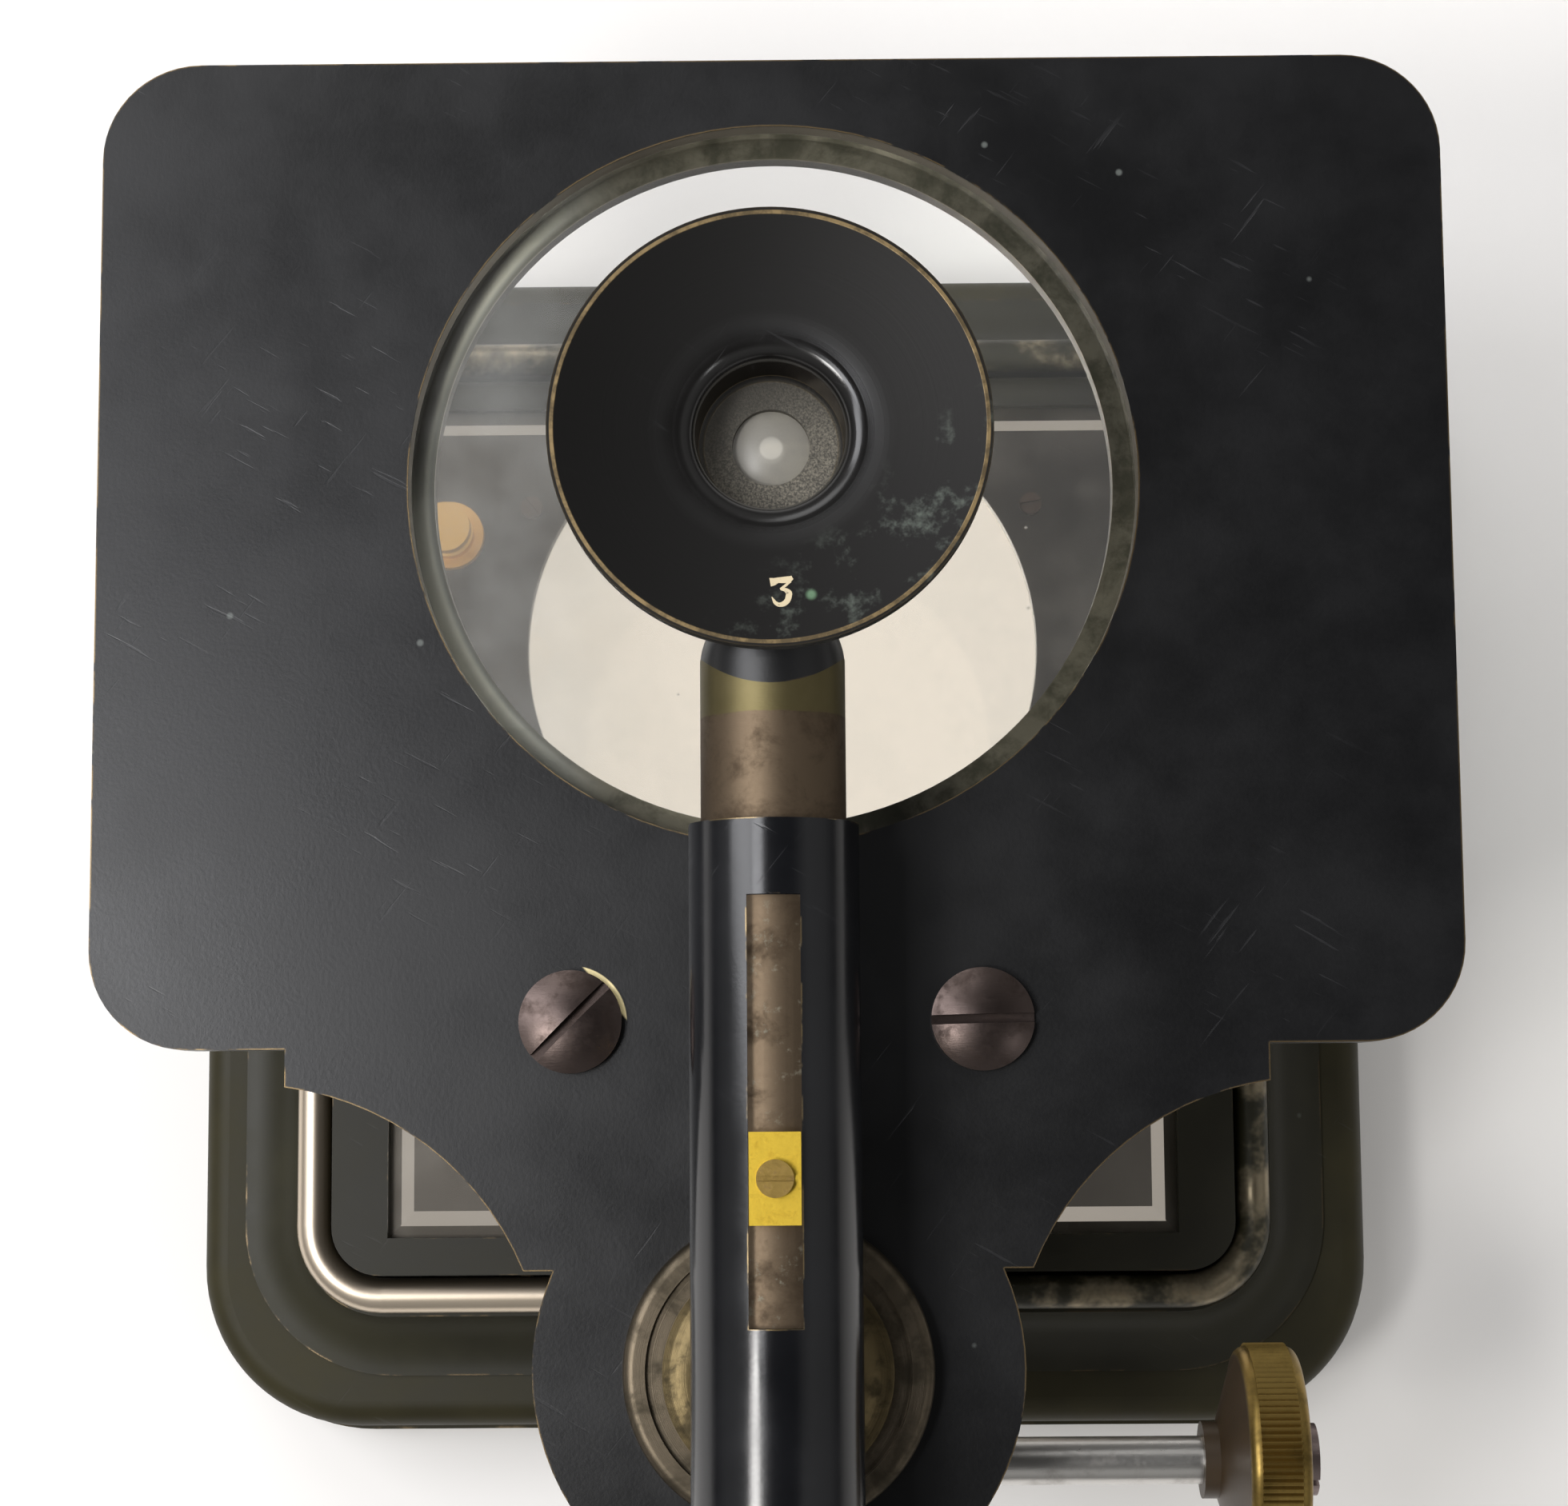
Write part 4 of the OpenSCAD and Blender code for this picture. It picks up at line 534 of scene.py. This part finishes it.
def smooth_line(points, steps=12):
    """A Catmull-Rom line through points: between two of them, the cubic with their mean slopes."""
    p = np.array(points, float)
    p = np.vstack([2 * p[0] - p[1], p, 2 * p[-1] - p[-2]])
    a, b, c, d = (p[k:len(p) - 3 + k, None, :] for k in range(4))
    t = (np.arange(steps) / steps)[None, :, None]
    made = 0.5 * (2 * b + (c - a) * t + (2 * a - 5 * b + 4 * c - d) * t ** 2
                  + (3 * b - a - 3 * c + d) * t ** 3)
    return np.vstack([made.reshape(-1, 3), p[-2:-1]])


def pen_stroke(points, proud, sunk):
    """A closed ribbon: its middle runs through the points, half as wide as each point's third
    value on either side, and it lies on the dish's sphere, a little proud and a little sunk."""
    line = smooth_line(points)
    way = np.gradient(line[:, :2], axis=0)
    way /= np.linalg.norm(way, axis=1)[:, None]
    across = np.stack([-way[:, 1], way[:, 0]], axis=1) * line[:, 2:]
    sides = np.stack([line[:, :2] + across, line[:, :2] - across], axis=1)
    from_lens = sides - np.array(LENS[:2])
    dish = DISH_CENTRE_Z - np.sqrt(DISH_R ** 2 - (from_lens ** 2).sum(axis=2))
    top = np.concatenate([sides, (dish + proud)[:, :, None]], axis=2)
    low = np.concatenate([sides, (dish - sunk)[:, :, None]], axis=2)[:, ::-1]
    rings = np.concatenate([top, low], axis=1)
    count = len(rings)
    k, j = np.meshgrid(np.arange(count - 1), np.arange(4), indexing="ij")
    turn = (j + 1) % 4
    quads = np.stack([4 * k + j, 4 * k + turn, 4 * k + 4 + turn, 4 * k + 4 + j], axis=-1).reshape(-1, 4)
    ends = np.array([[3, 2, 1, 0], 4 * (count - 1) + np.arange(4)])
    return rings.reshape(-1, 3), np.vstack([quads, ends])


def power_mark():
    """The doublet's power, a 3 of three strokes in worn gilding: bar, slant and bowl."""
    places, faces, start = [], [], 0
    for stroke, proud in STROKES:
        verts, quads = pen_stroke(np.array(stroke) * MM, proud, STROKE_SUNK)
        places.append(verts)
        faces.append(quads + start)
        start += len(verts)
    mesh = bpy.data.meshes.new("power_mark")
    mesh.from_pydata(np.vstack(places).tolist(), [], np.vstack(faces).tolist())
    made = bpy.data.objects.new("power_mark", mesh)
    bpy.context.scene.collection.objects.link(made)
    f = Finish("worn_gilding", (0.62, 0.52, 0.34), rough=0.5, metal=0.3)
    f.layer(f.span(f.noise(0.35 * MM, rough=0.7), 0.60, 0.72), (0.12, 0.10, 0.07), rough=0.6)
    mesh.materials.append(f.done())
    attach(made, "doublet")
    return made


# Floor and room
FLOOR_HALF = 4.0
PAPER = (0.83, 0.815, 0.80)
ROOM = ((0.0, 0.06), (0.30, 0.34), (0.70, 0.42), (0.90, 0.05))
ROOM_WHITE = (1, 0.99, 0.975)
SOFT_WHITE = (1, 0.985, 0.965, 1)
SOFT_FILL = 0.54


def floor():
    """A pale square floor, far wider than the object."""
    half = FLOOR_HALF
    mesh = bpy.data.meshes.new("floor")
    mesh.from_pydata([(-half, -half, 0), (half, -half, 0), (half, half, 0), (-half, half, 0)], [],
                     [(0, 1, 2, 3)])
    made = bpy.data.objects.new("floor", mesh)
    bpy.context.scene.collection.objects.link(made)
    mesh.materials.append(Finish("floor_paper", PAPER, rough=0.9).done())


def room():
    """A room that is white to the eye and through the glass. Matt surfaces get an even fill from
    it; glossy ones see it by ROOM's pairs of height (sine) and brightness: dim at the horizon and
    overhead, where the camera stands."""
    world = bpy.data.worlds.new("studio")
    bpy.context.scene.world = world
    world.use_nodes = True
    nodes = world.node_tree.nodes
    links = world.node_tree.links
    nodes.clear()
    path = nodes.new("ShaderNodeLightPath")
    either = nodes.new("ShaderNodeMath")
    either.operation = "MAXIMUM"
    seen = nodes.new("ShaderNodeBackground")
    seen.inputs["Color"].default_value = (1, 1, 1, 1)
    seen.inputs["Strength"].default_value = 1.0
    way = nodes.new("ShaderNodeSeparateXYZ")
    where = nodes.new("ShaderNodeTexCoord")
    ramp = nodes.new("ShaderNodeValToRGB")
    while len(ramp.color_ramp.elements) < len(ROOM):
        ramp.color_ramp.elements.new(0.5)
    for stop, (height, bright) in zip(ramp.color_ramp.elements, ROOM):
        stop.position = height
        stop.color = [bright * c for c in ROOM_WHITE] + [1]
    shown = nodes.new("ShaderNodeBackground")
    fill = nodes.new("ShaderNodeBackground")
    fill.inputs["Color"].default_value = SOFT_WHITE
    fill.inputs["Strength"].default_value = SOFT_FILL
    soft = nodes.new("ShaderNodeMixShader")
    mixed = nodes.new("ShaderNodeMixShader")
    out = nodes.new("ShaderNodeOutputWorld")
    for first, second in ((path.outputs["Is Camera Ray"], either.inputs[0]),
                          (path.outputs["Is Transmission Ray"], either.inputs[1]),
                          (where.outputs["Generated"], way.inputs["Vector"]),
                          (way.outputs["Z"], ramp.inputs["Fac"]),
                          (ramp.outputs["Color"], shown.inputs["Color"]),
                          (path.outputs["Is Diffuse Ray"], soft.inputs[0]),
                          (shown.outputs[0], soft.inputs[1]),
                          (fill.outputs[0], soft.inputs[2]),
                          (either.outputs[0], mixed.inputs[0]),
                          (soft.outputs[0], mixed.inputs[1]),
                          (seen.outputs[0], mixed.inputs[2]),
                          (mixed.outputs[0], out.inputs[0])):
        links.new(first, second)


# Lamps
AIM = (0, 0, 0.08)
WARM_WHITE = (1.0, 0.985, 0.96)
COOL_WHITE = (0.96, 0.965, 1.0)


def soft_box(name, place, width, depth, brightness, colour=(1, 1, 1)):
    """A rectangular lamp that faces the object; its power is four times brightness times area."""
    light = bpy.data.lights.new(name, "AREA")
    light.shape = "RECTANGLE"
    light.size = width
    light.size_y = depth
    light.color = colour
    light.energy = 4 * brightness * width * depth
    made = bpy.data.objects.new(name, light)
    bpy.context.scene.collection.objects.link(made)
    made.location = place
    made.rotation_euler = (Vector(AIM) - Vector(place)).to_track_quat("-Z", "Y").to_euler()


# Camera, as measured from the tapering of the photographed stage, arm and base
CAMERA_PLACE = (2.465 * MM, -28.746 * MM, 333.602 * MM)
CAMERA_TURN = (6.759, 0.434, -0.412)
SENSOR_WIDTH = 36.0
FOCAL_PX = 4000
PHOTO_WIDTH_PX = 1960


def camera():
    """The photograph's view, nearly straight down, with its focal length in sensor millimetres."""
    data = bpy.data.cameras.new("camera")
    data.sensor_width = SENSOR_WIDTH
    data.lens = FOCAL_PX / PHOTO_WIDTH_PX * SENSOR_WIDTH
    data.clip_start = 10 * MM
    made = bpy.data.objects.new("camera", data)
    bpy.context.scene.collection.objects.link(made)
    made.location = CAMERA_PLACE
    made.rotation_euler = [math.radians(angle) for angle in CAMERA_TURN]
    bpy.context.scene.camera = made


ABOVE_STAGE = ("arm_tube", "draw_tube", "tube_nose", "lens_ring", "doublet_cup", "doublet_barrel")


def hide_from_mirror(pieces):
    """The mirror shows the bare stage hole, as in the photograph: rays that have met glass or a
    glossy surface pass these pieces by."""
    for piece in pieces:
        piece.visible_glossy = False
        piece.visible_transmission = False


mark = power_mark()
hide_from_mirror([NODES[node] for node in ABOVE_STAGE] + [mark])
floor()
room()
soft_box("key", (-0.325, -0.16, 0.68), width=0.155, depth=0.15, brightness=21.5, colour=WARM_WHITE)
soft_box("overhead", (-0.29, 0.02, 0.82), width=0.20, depth=0.20, brightness=6.8, colour=COOL_WHITE)
soft_box("window", (-0.52, 0.20, 0.66), width=0.40, depth=0.40, brightness=4.6, colour=COOL_WHITE)
soft_box("rear", (-0.20, 0.52, 0.63), width=0.36, depth=0.36, brightness=2.0)
soft_box("side", (0.40, -0.26, 0.66), width=0.08, depth=0.08, brightness=7.0)
camera()
bpy.context.scene.view_settings.view_transform = "Standard"
